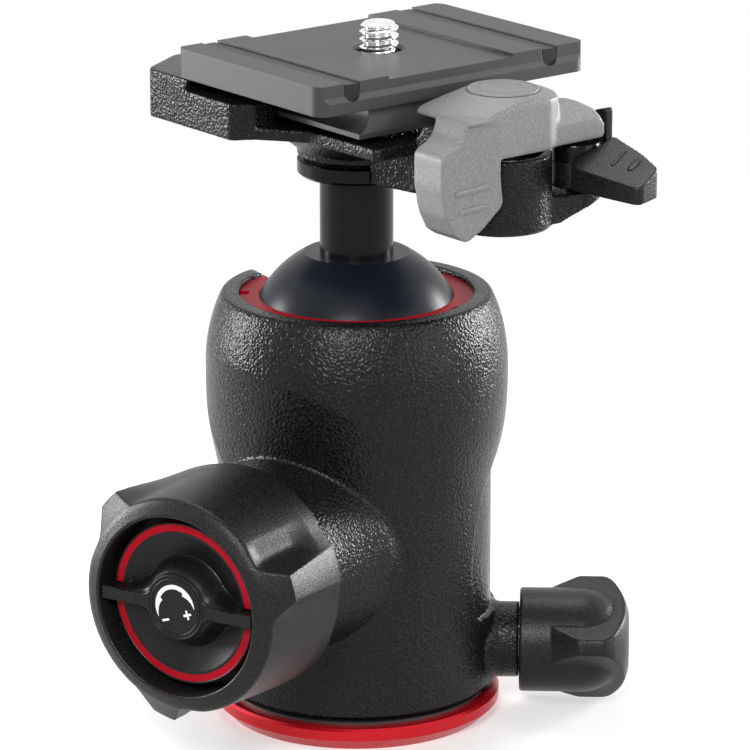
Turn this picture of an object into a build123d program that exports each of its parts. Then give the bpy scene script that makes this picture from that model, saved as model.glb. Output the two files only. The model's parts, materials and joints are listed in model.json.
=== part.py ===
from build123d import *
from math import cos, radians, sin, sqrt
import os

# Tripod ball head with a quick-release clamp.  Millimetres, +Z up.
# The origin is the mouth of the tripod thread, at the centre of the base's underside.
# The ball-lock knob points along -Y.  Every node is its own solid and its own file.

# ---------------------------------------------------------------- clearances
RUN = 0.05            # radial clearance of a running fit
SEAT = 0.02           # radial clearance of pieces fixed together
GAP = 0.3             # air between pieces that move past each other

# ---------------------------------------------------------------- ball, socket and body
BALL_R = 18.1
SOCKET_WALL = 6.7             # from the ball to the outside of the socket
SOCKET_SWELL = 2.2            # how far the socket stands out from the drum below it
BODY_H = 67.3
RIM_ABOVE_BALL = 9.4          # from the ball's centre to the body's rim
BELLY_BELOW_RIM = 15.8        # where the socket is widest
RIM_ROUND = 0.4
NOTCH_ANGLE = 150.0
NOTCH_HALF = 7.0
NOTCH_ROUND = 3.5
CREASE_BELOW_BALL = 11.1
CREASE_RISE = 13.9
CREASE_HIGH_ANGLE = -126.0
CREASE_LEAN = 0.167
CREASE_LEAN_ANGLE = 123.0
SEAT_BED = 3.3                # polymer under the ball
SEAT_RIM = 3.7                # width of the seat's top face
SEAT_INSET = 0.7              # seat's outside within the ball's own radius
BALL_AIR = 0.5                # air round the ball between seat and liner
LINER_T = 1.1
LINER_H = 4.7
LINER_SUNK = 0.8
LINER_KEY_W = 2.2
LINER_KEY_ANGLES = (-150.0, 5.0)

# ---------------------------------------------------------------- base and pan bearing
BASE_LIP = 1.1                # base's edge beyond the body's drum
BASE_H = 4.0
BASE_CHAMFER = 2.0
BASE_EDGE = 0.4
TRIPOD_THREAD_R = 4.7625      # 3/8 inch
TRIPOD_THREAD_DEPTH = 9.0
INSERT_WALL = 1.75
SPINDLE_FOOT_R = 9.0
SPINDLE_R = 13.0
SPINDLE_H = 13.0
SPINDLE_BEVEL = 0.6
GROOVE_DEPTH = 1.2
GROOVE_HALF = 2.2
WASHER_T = 0.45
RETAINER_ANGLES = (110.0, 190.0)
RETAINER_R = 2.0
RETAINER_KEY_R = 1.2
RETAINER_SUNK = 0.6

# ---------------------------------------------------------------- stem
STEM_R = 6.0
STEM_SHOULDER = 2.65          # ball's flat beyond the stem
STEM_L = 13.2
SPIGOT_STEP = 1.0
SPIGOT_DEPTH = 11.8
FLANGE_LIP = 3.65
FLANGE_H = 2.5
PLATFORM_SCREW_R = 2.5
PLATFORM_SCREW_DEPTH = 11.0
HUB_GROOVE_DEPTH = 1.0
HUB_GROOVE_H = 0.8

# ---------------------------------------------------------------- ball lock
KNOB_BELOW_SEAT = 8.6         # lock screw's axis below the seat's floor
KNOB_BOSS_R = 15.2
KNOB_REACH = 9.9              # boss beyond the drum
KNOB_L = 19.4
KNOB_AIR = 1.0                # between boss and knob
KNOB_BAND_L = 3.5
KNOB_TAPER = 1.0
KNOB_LIP_W = 2.9
KNOB_POCKET_DEPTH = 7.4
LOBE_FRONT_REACH = 3.2
LOBE_REAR_REACH = 0.9
LOBE_FRONT_HALF = 1.5
LOBE_REAR_HALF = 4.2
LOBE_FRONT_ROOT = 15.0        # degrees from the lobe's middle to its root
LOBE_REAR_ROOT = 20.0
LOBE_ANGLES = (16.5, 136.5, 256.5)
LOBE_SLOPE = 0.75
LOCK_SCREW_R = 4.0
LOCK_BUSH_WALL = 3.0
LOCK_BUSH_L = 12.5
LOCK_HEX_R = 7.0
LOCK_HEX_L = 6.0
LOCK_HEX_FOOT = 3.0
WEDGE_R = 5.45
WEDGE_L = 18.0
WEDGE_RISE = 2.6
WEDGE_SLOPE = 0.25
LOCK_TRAVEL = 0.8
PUSHER_R = 4.5

# ---------------------------------------------------------------- friction dial
DIAL_R = 13.2
DIAL_AIR = 1.4                # dark gap round the dial
DIAL_SUNK = 2.6               # dial's face behind the knob's lip
DIAL_T = 3.7
DIAL_RING_W = 1.5
DIAL_RING_H = 1.6
DISH_DEPTH = 2.6
DIAL_BAR_W = 2.2
DIAL_BAR_H = 2.3
DIAL_HUB_R = 5.4
DIAL_HUB_FLARE = 2.2
DIAL_CAP_R = 4.3
DIAL_CAP_T = 0.7
FRICTION_ROD_R = 1.5
SPRING_COUNT = 4
SPRING_R = 5.0
SPRING_T = 0.35
SPRING_DISH = 0.4

# ---------------------------------------------------------------- pan lock
PAN_ANGLE = 30.0
PAN_RISE = 7.2                # pan lock's axis above the body's foot
PAN_NECK_R = 6.3
PAN_REACH = 4.4               # neck beyond the drum
PAN_COLLAR_LIP = 2.35
PAN_KNOB_L = 18.2
PAN_COLLAR_L = 5.0
PAN_LOBE_R = 11.2
PAN_FLAT = 6.65               # knob's flats from its axis
PAN_LOBE_TURN = 47.4
PAN_FACE_R = 4.2
PAN_SCREW_R = 3.0
PAN_BUSH_WALL = 1.6
PAN_BUSH_L = 9.0
PAN_TRAVEL = 0.8
PAD_L = 3.4
LEAF_DEPTH = 0.45
LEAF_H = 36.5
LEAF_HALF_W = 11.3

# ---------------------------------------------------------------- plate, in the clamp's own turned frame
HEAD_TURN = -18.915
PLATE_X = 3.25
PLATE_Y = 2.05
PLATE_W = 37.9
PLATE_L = 54.3
PLATE_SHIFT = 0.5             # plate's middle beyond its screw
PLATE_T = 4.8
PLATE_CORNER = 2.2
FIELD_DEPTH = 0.55
FIELD_L = 25.3
BOSS_H = 4.8
BOSS_FLANGE_H = 0.8
BOSS_L = 36.3
BOSS_W = 35.8
BOSS_END_UNDERCUT = 2.8
BOSS_SIDE_UNDERCUT = 1.6
CORD_R = 1.6
CORD_OFFSET = 20.15
CORD_SUNK = 1.4
CORD_PROUD = 1.15
SCREW_R = 3.175               # 1/4 inch
SCREW_SHANK_R = 2.6
SCREW_HEAD_R = 6.0
SCREW_HEAD_H = 2.4
SCREW_PROUD = 3.8             # tip above the plate's lands
SCREW_POINT = 0.7
SCREW_HOLE_AIR = 0.55

# ---------------------------------------------------------------- clamp platform
PLATFORM_RISE = 8.0           # floor above the stem's flange
FLOOR_T = 2.0
PAD_H = 1.4
NOSE_H = 4.0
NOSE_INSET = 0.6
JAW_W = 13.9                  # jaw's outside beyond the plate's edge
POST_R = 7.9
POST_DROP = 14.0
LEVER_AWAY = 8.4              # pivot beyond the plate's edge
LEVER_SHIFT = 3.05            # pivot beyond the plate's middle
PIVOT_R = 3.0
PIVOT_TIP_R = 2.5
SPRING_POCKET_R = 6.2
SPRING_POCKET_DEPTH = 5.7
CATCH_DX = 3.4                # catch's pin from the lever's pivot
CATCH_DY = 12.4
CATCH_DROP = 8.5
CATCH_H = 4.3
CATCH_PIN_R = 1.5
TRIGGER_DX = 11.25
TRIGGER_R = 2.2

# ---------------------------------------------------------------- lever
LEVER_AIR = 1.0               # between post and lever
LEVER_H = 9.1
LEVER_SKIRT_H = 2.2
LEVER_FRONT = 7.6
LEVER_NEAR = 12.7
LEVER_HUB_R = 7.6
LEVER_CAP_R = 5.7
LEVER_CAP_T = 0.9
PADDLE_BACK = 0.9             # paddle's rear face behind the pivot
NOSE_INNER = 2.1
NOSE_OUTER = 6.8
NOSE_REACH = 15.5
CAM_R = 9.85

# ---------------------------------------------------------------- sizes that follow
BARREL_R = BALL_R + SOCKET_WALL
BODY_R = BARREL_R - SOCKET_SWELL
BASE_R = BODY_R + BASE_LIP
BODY_Z = BASE_H + WASHER_T + RUN
BODY_TOP_Z = BODY_Z + BODY_H
BARREL_Z = BODY_TOP_Z - BELLY_BELOW_RIM
BALL_Z = BODY_TOP_Z - RIM_ABOVE_BALL
BALL_FLAT_Z = BALL_Z + sqrt(BALL_R ** 2 - (STEM_R + STEM_SHOULDER) ** 2)
SEAT_R = BALL_R - SEAT_INSET
SEAT_FLOOR_Z = BALL_Z - BALL_R - SEAT_BED
SEAT_TOP_Z = BALL_Z - sqrt((BALL_R + RUN) ** 2 - (SEAT_R - SEAT_RIM) ** 2)
LINER_R = BALL_R + LINER_T
LINER_TOP_Z = BODY_TOP_Z - LINER_SUNK
LINER_Z = LINER_TOP_Z - LINER_H
INSERT_R = TRIPOD_THREAD_R + INSERT_WALL
SPINDLE_TOP_Z = BASE_H + SPINDLE_H
PAN_Z = BODY_Z + PAN_RISE

SPIGOT_R = STEM_R - SPIGOT_STEP
SPIGOT_Z = BALL_FLAT_Z - SPIGOT_DEPTH
FLANGE_R = STEM_R + FLANGE_LIP
FLANGE_Z = BALL_FLAT_Z + STEM_L
HUB_Z = FLANGE_Z + FLANGE_H

KNOB_Z = SEAT_FLOOR_Z - KNOB_BELOW_SEAT
KNOB_BOSS_END = BODY_R + KNOB_REACH
KNOB_START = KNOB_BOSS_END + KNOB_AIR
KNOB_END = KNOB_START + KNOB_L
KNOB_LIP_R = DIAL_R + DIAL_AIR
KNOB_FRONT_R = KNOB_LIP_R + KNOB_LIP_W
KNOB_REAR_R = KNOB_FRONT_R + KNOB_TAPER
KNOB_POCKET = KNOB_END - KNOB_POCKET_DEPTH
LOCK_BORE_R = WEDGE_R + RUN
LOCK_BUSH_R = LOCK_SCREW_R + LOCK_BUSH_WALL
LOCK_HEX = KNOB_START + LOCK_HEX_FOOT
LOCK_HEAD = LOCK_HEX + LOCK_HEX_L
DIAL_FACE = KNOB_END - DIAL_SUNK
DIAL_BACK = DIAL_FACE - DIAL_T
DIAL_FRONT = DIAL_FACE + DIAL_BAR_H
DIAL_FLOOR_R = DIAL_R - DIAL_RING_W

PAN_NECK_END = BODY_R + PAN_REACH
PAN_KNOB_START = PAN_NECK_END + 2 * RUN
PAN_KNOB_END = PAN_KNOB_START + PAN_KNOB_L
PAN_COLLAR_R = PAN_NECK_R + PAN_COLLAR_LIP
PAN_BUSH_R = PAN_SCREW_R + PAN_BUSH_WALL
PAN_TIP = SPINDLE_R + PAD_L + 2 * RUN

FLOOR_Z = HUB_Z + PLATFORM_RISE
FLOOR_LOW_Z = FLOOR_Z - FLOOR_T
BOSS_Z = FLOOR_Z + PAD_H
BOSS_WAIST_Z = BOSS_Z + BOSS_FLANGE_H
PLATE_EDGE_Z = BOSS_Z + BOSS_H
PLATE_TOP_Z = PLATE_EDGE_Z + PLATE_T
FIELD_Z = PLATE_TOP_Z - FIELD_DEPTH
SCREW_TIP_Z = PLATE_TOP_Z + SCREW_PROUD
SCREW_HOLE_R = SCREW_R + SCREW_HOLE_AIR
NOSE_TOP_Z = FLOOR_Z + NOSE_H
NOSE_Y = PLATE_Y + PLATE_SHIFT - PLATE_L / 2 + NOSE_INSET
NOSE_FAR_Y = 2 * PLATE_Y - NOSE_Y
JAW_TOP_Z = PLATE_EDGE_Z - GAP
JAW_X = PLATE_X - PLATE_W / 2 - JAW_W
JAW_FACE_X = PLATE_X - BOSS_W / 2 - GAP
LEVER_X = PLATE_X + PLATE_W / 2 + LEVER_AWAY
LEVER_Y = PLATE_Y + LEVER_SHIFT
POST_Z = FLOOR_Z - POST_DROP
LEVER_Z = FLOOR_Z + 0.2 - LEVER_AIR
POST_TOP_Z = LEVER_Z - LEVER_AIR
LEVER_TOP_Z = LEVER_Z + LEVER_H
LEVER_EDGE_Z = LEVER_TOP_Z - 1.1
LEVER_DISC_Z = LEVER_TOP_Z - LEVER_CAP_T
CATCH_X = LEVER_X + CATCH_DX
CATCH_Y = LEVER_Y + CATCH_DY
CATCH_Z = FLOOR_Z - CATCH_DROP
CATCH_TOP_Z = CATCH_Z + CATCH_H


# ---------------------------------------------------------------- helpers
def cylinder(radius, low, high):
    return Pos(0, 0, (low + high) / 2) * Cylinder(radius, high - low)


def tube(outer, inner, low, high):
    return cylinder(outer, low, high) - cylinder(inner, low - 1, high + 1)


def turned(*points):
    """A solid of revolution about Z from (radius, height) points."""
    outline = make_face(Polyline(*points, close=True))
    return revolve(Plane.XZ * outline, axis=Axis.Z)


def prism(points, low, high):
    outline = make_face(Polyline(*points, close=True))
    return extrude(Pos(0, 0, low) * outline, amount=high - low)


def rounded_outline(corners):
    """A closed outline through (x, y, corner radius) triples."""
    points = [(x, y) for x, y, radius in corners]
    radii = [radius for x, y, radius in corners]
    return make_face(FilletPolyline(*points, radius=radii, close=True))


def rounded_prism(corners, low, high):
    return extrude(Pos(0, 0, low) * rounded_outline(corners), amount=high - low)


def box_between(x, y, z):
    centre = Pos((x[0] + x[1]) / 2, (y[0] + y[1]) / 2, (z[0] + z[1]) / 2)
    return centre * Box(x[1] - x[0], y[1] - y[0], z[1] - z[0])


def along(angle, height):
    """Places a shape whose +Z is a horizontal direction through the body's axis."""
    direction = (cos(radians(angle)), sin(radians(angle)), 0)
    side = (-sin(radians(angle)), cos(radians(angle)), 0)
    return Plane(origin=(0, 0, height), x_dir=side, z_dir=direction).location


KNOB_AXIS = Plane(origin=(0, 0, KNOB_Z), x_dir=(1, 0, 0), z_dir=(0, -1, 0)).location
PAN_AXIS = along(PAN_ANGLE, PAN_Z)
HEAD = Rot(0, 0, HEAD_TURN)
LEVER_AXIS = Pos(LEVER_X, LEVER_Y, 0)
CATCH_AXIS = Pos(CATCH_X, CATCH_Y, 0)
SCREW_AXIS = Pos(PLATE_X, PLATE_Y, 0)
TRIGGER_AXIS = Pos(PLATE_X + TRIGGER_DX, PLATE_Y, 0)


# ---------------------------------------------------------------- base
def base_disc():
    return turned(
        (SPINDLE_FOOT_R, 0),
        (BASE_R - BASE_CHAMFER, 0),
        (BASE_R, BASE_CHAMFER),
        (BASE_R, BASE_H - BASE_EDGE),
        (BASE_R - BASE_EDGE, BASE_H),
        (SPINDLE_FOOT_R, BASE_H),
    )


def pan_spindle():
    """Turned post the body rides on, with the V-groove that the pan lock and the retainers enter."""
    foot = SPINDLE_FOOT_R - SEAT
    body = turned(
        (0, GAP),
        (foot, GAP),
        (foot, BASE_H),
        (SPINDLE_R, BASE_H),
        (SPINDLE_R, PAN_Z - GROOVE_HALF),
        (SPINDLE_R - GROOVE_DEPTH, PAN_Z),
        (SPINDLE_R, PAN_Z + GROOVE_HALF),
        (SPINDLE_R, SPINDLE_TOP_Z - SPINDLE_BEVEL),
        (SPINDLE_R - SPINDLE_BEVEL, SPINDLE_TOP_Z),
        (0, SPINDLE_TOP_Z),
    )
    return body - cylinder(INSERT_R + SEAT, 0, TRIPOD_THREAD_DEPTH)


def thread_insert():
    return tube(INSERT_R, TRIPOD_THREAD_R, 0, TRIPOD_THREAD_DEPTH)


def thrust_washer():
    return tube(BODY_R - BASE_LIP, SPINDLE_R + 4 * RUN, BASE_H, BASE_H + WASHER_T)


# ---------------------------------------------------------------- body casting
def barrel_blank():
    """The outer form of the casting: a plain drum that swells into the ball's socket."""
    foot_r = BODY_R + 0.35
    foot_edge = 0.5
    shoulder_r = BARREL_R - 2.6
    wall = Spline(
        (foot_r, BODY_Z + foot_edge),
        (BODY_R, BARREL_Z - 30.0),
        (BODY_R + 0.25, BARREL_Z - 14.0),
        (BARREL_R - 0.5, BARREL_Z - 6.4),
        (BARREL_R, BARREL_Z),
        (BARREL_R - 0.25, BARREL_Z + 7.5),
        (BARREL_R - 1.3, BARREL_Z + 12.2),
        (shoulder_r, BODY_TOP_Z - RIM_ROUND),
    )
    rest = Polyline(
        (shoulder_r, BODY_TOP_Z - RIM_ROUND),
        (shoulder_r - RIM_ROUND, BODY_TOP_Z),
        (0, BODY_TOP_Z),
        (0, BODY_Z),
        (foot_r - foot_edge, BODY_Z),
        (foot_r, BODY_Z + foot_edge),
    )
    return revolve(Plane.XZ * make_face(Curve() + [wall, rest]), axis=Axis.Z)


def creased(blank):
    """Below a slanting plane the socket's front is cut back to a leaning face, down to the drum."""
    high = radians(CREASE_HIGH_ANGLE)
    normal = Vector(-CREASE_RISE * cos(high), -CREASE_RISE * sin(high), BARREL_R).normalized()
    plane = Plane(origin=(0, 0, BALL_Z - CREASE_BELOW_BALL), z_dir=normal)
    lean = radians(CREASE_LEAN_ANGLE)
    direction = Vector(CREASE_LEAN * cos(lean), CREASE_LEAN * sin(lean), -1).normalized()
    reach = 2 * BODY_H
    below = plane * Pos(0, 0, -reach / 2) * Box(reach, reach, reach)
    leaning = extrude(slanted_section(plane), amount=reach, dir=direction)
    drum = cylinder(BODY_R, BODY_Z + 1, BARREL_Z)
    return blank - (below - leaning) + drum


def slanted_section(plane):
    """The slanting plane's cut through a straight cylinder of the socket's radius."""
    across = Vector(plane.z_dir.X, plane.z_dir.Y, 0).normalized()
    long_axis = (across - plane.z_dir * across.dot(plane.z_dir)).normalized()
    frame = Plane(origin=plane.origin, x_dir=long_axis, z_dir=plane.z_dir)
    return frame * Ellipse(BARREL_R / plane.z_dir.Z, BARREL_R)


def knob_boss():
    edge = 0.4
    return KNOB_AXIS * turned(
        (0, BODY_R - 14.6),
        (KNOB_BOSS_R + 2.6, BODY_R - 14.6),
        (KNOB_BOSS_R + 2.2, BODY_R - 5.6),
        (KNOB_BOSS_R + 1.1, BODY_R - 0.6),
        (KNOB_BOSS_R + 0.4, BODY_R + 3.9),
        (KNOB_BOSS_R, KNOB_BOSS_END - edge),
        (KNOB_BOSS_R - edge, KNOB_BOSS_END),
        (0, KNOB_BOSS_END),
    )


def pan_boss():
    flare = PAN_NECK_R + 1.1
    boss = PAN_AXIS * turned(
        (0, SPINDLE_R + 2),
        (flare, SPINDLE_R + 2),
        (flare, BODY_R - 1.0),
        (PAN_NECK_R, BODY_R + 0.8),
        (PAN_NECK_R, PAN_NECK_END),
        (0, PAN_NECK_END),
    )
    return boss - cylinder(2 * PAN_NECK_END, 0, BODY_Z)


def notch():
    """The gap in the socket that lets the stem drop to 90 degrees."""
    half = NOTCH_HALF
    outer = half + NOTCH_ROUND
    shoulder = BODY_TOP_Z - NOTCH_ROUND
    over = BODY_TOP_Z + 5
    slant = NOTCH_ROUND * (1 - sqrt(0.5))
    floor = ThreePointArc((-half, BALL_Z), (0, BALL_Z - half), (half, BALL_Z))
    right = Line((half, BALL_Z), (half, shoulder))
    right_round = ThreePointArc((half, shoulder), (half + slant, BODY_TOP_Z - slant), (outer, BODY_TOP_Z))
    top = Polyline((outer, BODY_TOP_Z), (outer, over), (-outer, over), (-outer, BODY_TOP_Z))
    left_round = ThreePointArc((-outer, BODY_TOP_Z), (-half - slant, BODY_TOP_Z - slant), (-half, shoulder))
    left = Line((-half, shoulder), (-half, BALL_Z))
    outline = make_face(Curve() + [floor, right, right_round, top, left_round, left])
    return along(NOTCH_ANGLE, 0) * extrude(outline, amount=BARREL_R + 5)


def leaf_recess():
    """A shallow leaf-shaped hollow in the drum above the pan lock's neck."""
    foot = PAN_NECK_R
    half = LEAF_HALF_W - 1.8
    widest = foot + 8.2
    right = ThreePointArc((0, LEAF_H), (LEAF_HALF_W, widest), (half, foot))
    left = ThreePointArc((-half, foot), (-LEAF_HALF_W, widest), (0, LEAF_H))
    outline = make_face(Curve() + [right, Line((half, foot), (-half, foot)), left])
    leaf = extrude(Pos(0, 0, SPINDLE_R) * outline, amount=BARREL_R)
    return PAN_AXIS * leaf - cylinder(BODY_R - LEAF_DEPTH, 0, BODY_TOP_Z)


def body_casting():
    solid = creased(barrel_blank()) + knob_boss() + pan_boss()
    solid -= leaf_recess() - pan_boss()
    solid -= cylinder(SPINDLE_R + RUN, 0, SPINDLE_TOP_Z + GAP)
    solid -= cylinder(SEAT_R + RUN, SEAT_FLOOR_Z, BALL_Z)
    solid -= cylinder(BALL_R + BALL_AIR, SEAT_TOP_Z, BALL_Z + 1)
    solid -= cylinder(BALL_R + BALL_AIR, BALL_Z, LINER_Z + 1)
    solid -= cylinder(LINER_R + SEAT, LINER_Z, BODY_TOP_Z + 1)
    solid -= cylinder(PUSHER_R + RUN, KNOB_Z, SEAT_FLOOR_Z + 1)
    solid -= notch()
    solid -= KNOB_AXIS * cylinder(LOCK_BORE_R, -WEDGE_L, KNOB_BOSS_END + 1)
    solid -= KNOB_AXIS * cylinder(LOCK_BUSH_R + SEAT, KNOB_BOSS_END - LOCK_BUSH_L, KNOB_BOSS_END + 1)
    solid -= PAN_AXIS * cylinder(PAN_SCREW_R + 2 * RUN, SPINDLE_R - 1, PAN_NECK_END)
    solid -= PAN_AXIS * cylinder(PAN_BUSH_R + SEAT, PAN_NECK_END - PAN_BUSH_L, PAN_NECK_END + 1)
    for angle in RETAINER_ANGLES:
        solid -= along(angle, PAN_Z) * cylinder(RETAINER_R + SEAT, SPINDLE_R - 1, 2 * BODY_R)
    return solid


def retaining_screws():
    """Grub screws whose cone tips ride in the spindle's groove."""
    slope = GROOVE_DEPTH / GROOVE_HALF
    nose_r = 0.6
    root = SPINDLE_R - GROOVE_DEPTH + 2 * RUN
    outer = BODY_R - RETAINER_SUNK
    screw = turned(
        (0, root + slope * nose_r),
        (nose_r, root + slope * nose_r),
        (RETAINER_R, root + slope * RETAINER_R),
        (RETAINER_R, outer),
        (RETAINER_KEY_R, outer),
        (RETAINER_KEY_R, outer - 1.6),
        (0, outer - 1.6),
    )
    return [along(angle, PAN_Z) * screw for angle in RETAINER_ANGLES]


def friction_ring():
    solid = cylinder(LINER_R, LINER_Z, LINER_TOP_Z)
    solid -= Pos(0, 0, BALL_Z) * Sphere(BALL_R + RUN)
    solid -= notch()
    key = box_between((LINER_R - 1.6, LINER_R + 1), (-LINER_KEY_W / 2, LINER_KEY_W / 2), (LINER_Z + 2, BODY_TOP_Z))
    for angle in LINER_KEY_ANGLES:
        solid -= Rot(0, 0, angle) * key
    return solid


# ---------------------------------------------------------------- ball, seat and stem
def ball_seat():
    floor = SEAT_FLOOR_Z + GAP + 2 * RUN
    solid = cylinder(SEAT_R, floor, SEAT_TOP_Z)
    solid -= Pos(0, 0, BALL_Z) * Sphere(BALL_R + RUN)
    return solid - cylinder(PUSHER_R - 1.5, floor - 1, BALL_Z)


def ball():
    solid = Pos(0, 0, BALL_Z) * Sphere(BALL_R)
    solid -= cylinder(BALL_R, BALL_FLAT_Z, BALL_Z + BALL_R + 1)
    return solid - cylinder(SPIGOT_R + SEAT, SPIGOT_Z, BALL_FLAT_Z + 1)


def ball_stem():
    edge = 0.5
    bevel = 0.8
    low = SPIGOT_Z + GAP
    solid = turned(
        (0, low),
        (SPIGOT_R - bevel, low),
        (SPIGOT_R, low + bevel),
        (SPIGOT_R, BALL_FLAT_Z),
        (STEM_R, BALL_FLAT_Z),
        (STEM_R, FLANGE_Z),
        (FLANGE_R - edge, FLANGE_Z),
        (FLANGE_R, FLANGE_Z + edge),
        (FLANGE_R, HUB_Z),
        (0, HUB_Z),
    )
    return solid - cylinder(PLATFORM_SCREW_R + SEAT, HUB_Z - PLATFORM_SCREW_DEPTH - 1, HUB_Z + 1)


def platform_screw():
    """Countersunk socket screw that clamps the platform to the stem."""
    head_r = PLATFORM_SCREW_R + 2.7
    head_z = FLOOR_Z - GAP
    key_r = 1.7
    return turned(
        (0, HUB_Z - PLATFORM_SCREW_DEPTH),
        (PLATFORM_SCREW_R, HUB_Z - PLATFORM_SCREW_DEPTH),
        (PLATFORM_SCREW_R, head_z - 2.7),
        (head_r, head_z),
        (key_r, head_z),
        (key_r, head_z - 1.9),
        (0, head_z - 1.9),
    )


# ---------------------------------------------------------------- ball lock
def wedge_ramp(lift):
    """Everything under the wedge's ramp, raised by a clearance."""
    height = KNOB_Z + WEDGE_RISE + lift
    far = WEDGE_L + 2
    profile = [(-far, height + far * WEDGE_SLOPE), (far, height - far * WEDGE_SLOPE), (far, 0), (-far, 0)]
    face = Plane.YZ * make_face(Polyline(*profile, close=True))
    return extrude(face, amount=20, both=True)


def seat_pusher():
    """Stands on the wedge's ramp and carries the ball seat."""
    return cylinder(PUSHER_R, KNOB_Z, SEAT_FLOOR_Z + GAP + RUN) - wedge_ramp(RUN)


def lock_wedge():
    blank = KNOB_AXIS * cylinder(WEDGE_R, -WEDGE_L / 2, WEDGE_L / 2)
    socket = KNOB_AXIS * cylinder(LOCK_SCREW_R - 1.4, WEDGE_L / 2 - 3, WEDGE_L / 2 + 1)
    return (blank & wedge_ramp(0)) - socket


def lock_bush():
    return KNOB_AXIS * tube(LOCK_BUSH_R, LOCK_SCREW_R + RUN, KNOB_BOSS_END - LOCK_BUSH_L, KNOB_BOSS_END)


def lock_screw():
    """Hollow screw that pushes the wedge; its hexagon drives it from the knob."""
    bore = FRICTION_ROD_R + RUN
    dog = LOCK_SCREW_R - 1.6
    tip = WEDGE_L / 2 + 0.2 + LOCK_TRAVEL
    low = tip - 1.6 - LOCK_TRAVEL
    solid = turned(
        (bore, low),
        (dog, low),
        (dog, tip),
        (LOCK_SCREW_R, tip + 0.6),
        (LOCK_SCREW_R, LOCK_HEX),
        (bore, LOCK_HEX),
    )
    head = extrude(Pos(0, 0, LOCK_HEX) * RegularPolygon(LOCK_HEX_R, 6), amount=LOCK_HEX_L)
    return KNOB_AXIS * (solid + (head - cylinder(bore, 0, LOCK_HEAD + 1)))


def lobe_section(ring_r, root_angle, tip_r, tip_half):
    """A lobe's section: a flat tip whose hollow flanks run out along the round of the knob."""
    sink = 0.08
    x = (ring_r - sink) * cos(radians(root_angle))
    y = (ring_r - sink) * sin(radians(root_angle))
    along_ring = (sin(radians(root_angle)), -cos(radians(root_angle)))
    flank = Spline((x, y), (tip_r, tip_half), tangents=[along_ring, (1, 0)])
    tip = Line((tip_r, tip_half), (tip_r, -tip_half))
    inside = Polyline((x, -y), (0.6 * x, -0.6 * y), (0.6 * x, 0.6 * y), (x, y))
    return make_face(Curve() + [flank, tip, mirror(flank, about=Plane.XZ), inside])


def knob_lobe():
    """One finger lobe: narrow and tall at the front, broad and low at the rear."""
    rear_s = KNOB_START + 0.5
    front_s = KNOB_END - 1.0
    rear = lobe_section(
        KNOB_REAR_R, LOBE_REAR_ROOT, KNOB_REAR_R + LOBE_REAR_REACH, LOBE_REAR_HALF,
    )
    front = lobe_section(
        KNOB_FRONT_R, LOBE_FRONT_ROOT, KNOB_FRONT_R + LOBE_FRONT_REACH, LOBE_FRONT_HALF,
    )
    return loft([Pos(0, 0, rear_s) * rear, Pos(0, 0, front_s) * front], ruled=True)


def knob_crown():
    """The turned envelope that slopes the lobes' front faces back from the ring."""
    shoulder = KNOB_END - 1.3
    far = 2 * KNOB_REAR_R
    return turned(
        (0, KNOB_START),
        (far, KNOB_START),
        (far, shoulder - LOBE_SLOPE * (far - KNOB_FRONT_R)),
        (KNOB_FRONT_R, shoulder),
        (KNOB_FRONT_R - 1.0, shoulder + 0.5),
        (0, shoulder + 0.5),
    )


def lock_knob():
    band_end = KNOB_START + KNOB_BAND_L
    body = turned(
        (0, KNOB_START),
        (KNOB_REAR_R - 0.4, KNOB_START),
        (KNOB_REAR_R, KNOB_START + 0.4),
        (KNOB_REAR_R, band_end),
        (KNOB_FRONT_R, KNOB_END - 1.5),
        (KNOB_FRONT_R - 0.5, KNOB_END - 0.9),
        (KNOB_LIP_R + 0.7, KNOB_END - 0.1),
        (KNOB_LIP_R + 0.4, KNOB_END),
        (0, KNOB_END),
    )
    crown = knob_crown()
    for angle in LOBE_ANGLES:
        body += Rot(0, 0, angle) * (knob_lobe() & crown)
    body -= cylinder(KNOB_LIP_R, KNOB_POCKET, KNOB_END + 1)
    body -= cylinder(KNOB_BOSS_R + 1.2, KNOB_START - 1, KNOB_START + 1.6)
    body -= cylinder(LOCK_SCREW_R + SEAT, KNOB_START, KNOB_POCKET + 1)
    socket = RegularPolygon(LOCK_HEX_R + SEAT, 6)
    body -= extrude(Pos(0, 0, LOCK_HEX - SEAT) * socket, amount=KNOB_POCKET - LOCK_HEX + 1)
    return KNOB_AXIS * body


def dial_springs():
    """Dished spring washers between the lock screw's head and the friction dial."""
    pitch = (DIAL_BACK - LOCK_HEAD - RUN) / SPRING_COUNT
    bore = FRICTION_ROD_R + 0.7
    washers = []
    for n in range(SPRING_COUNT):
        low = LOCK_HEAD + RUN + n * pitch
        inner = low + SPRING_DISH * (n % 2)
        outer = low + SPRING_DISH * (1 - n % 2)
        washers.append(KNOB_AXIS * turned(
            (bore, inner), (SPRING_R, outer), (SPRING_R, outer + SPRING_T), (bore, inner + SPRING_T),
        ))
    return washers


# ---------------------------------------------------------------- friction dial
def dial_bar_outline(half, hub_r, reach):
    """The finger bar from the front: straight ends that swell into the round hub."""
    neck = reach - 2.9
    swell = hub_r - half
    tip = Line((reach, half), (neck, half))
    flank = Spline(
        (neck, half),
        (0.65 * DIAL_R, half + 0.14 * swell),
        (0.47 * DIAL_R, half + 0.49 * swell),
        (0.243 * DIAL_R, half + 0.86 * swell),
        (0, hub_r),
        tangents=[(-1, 0), (-1, 0)],
    )
    upper = [tip, flank, mirror(tip, about=Plane.YZ), mirror(flank, about=Plane.YZ)]
    lower = [mirror(edge, about=Plane.XZ) for edge in upper]
    ends = [Line((reach, half), (reach, -half)), Line((-reach, half), (-reach, -half))]
    return make_face(Curve() + upper + lower + ends)


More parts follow.
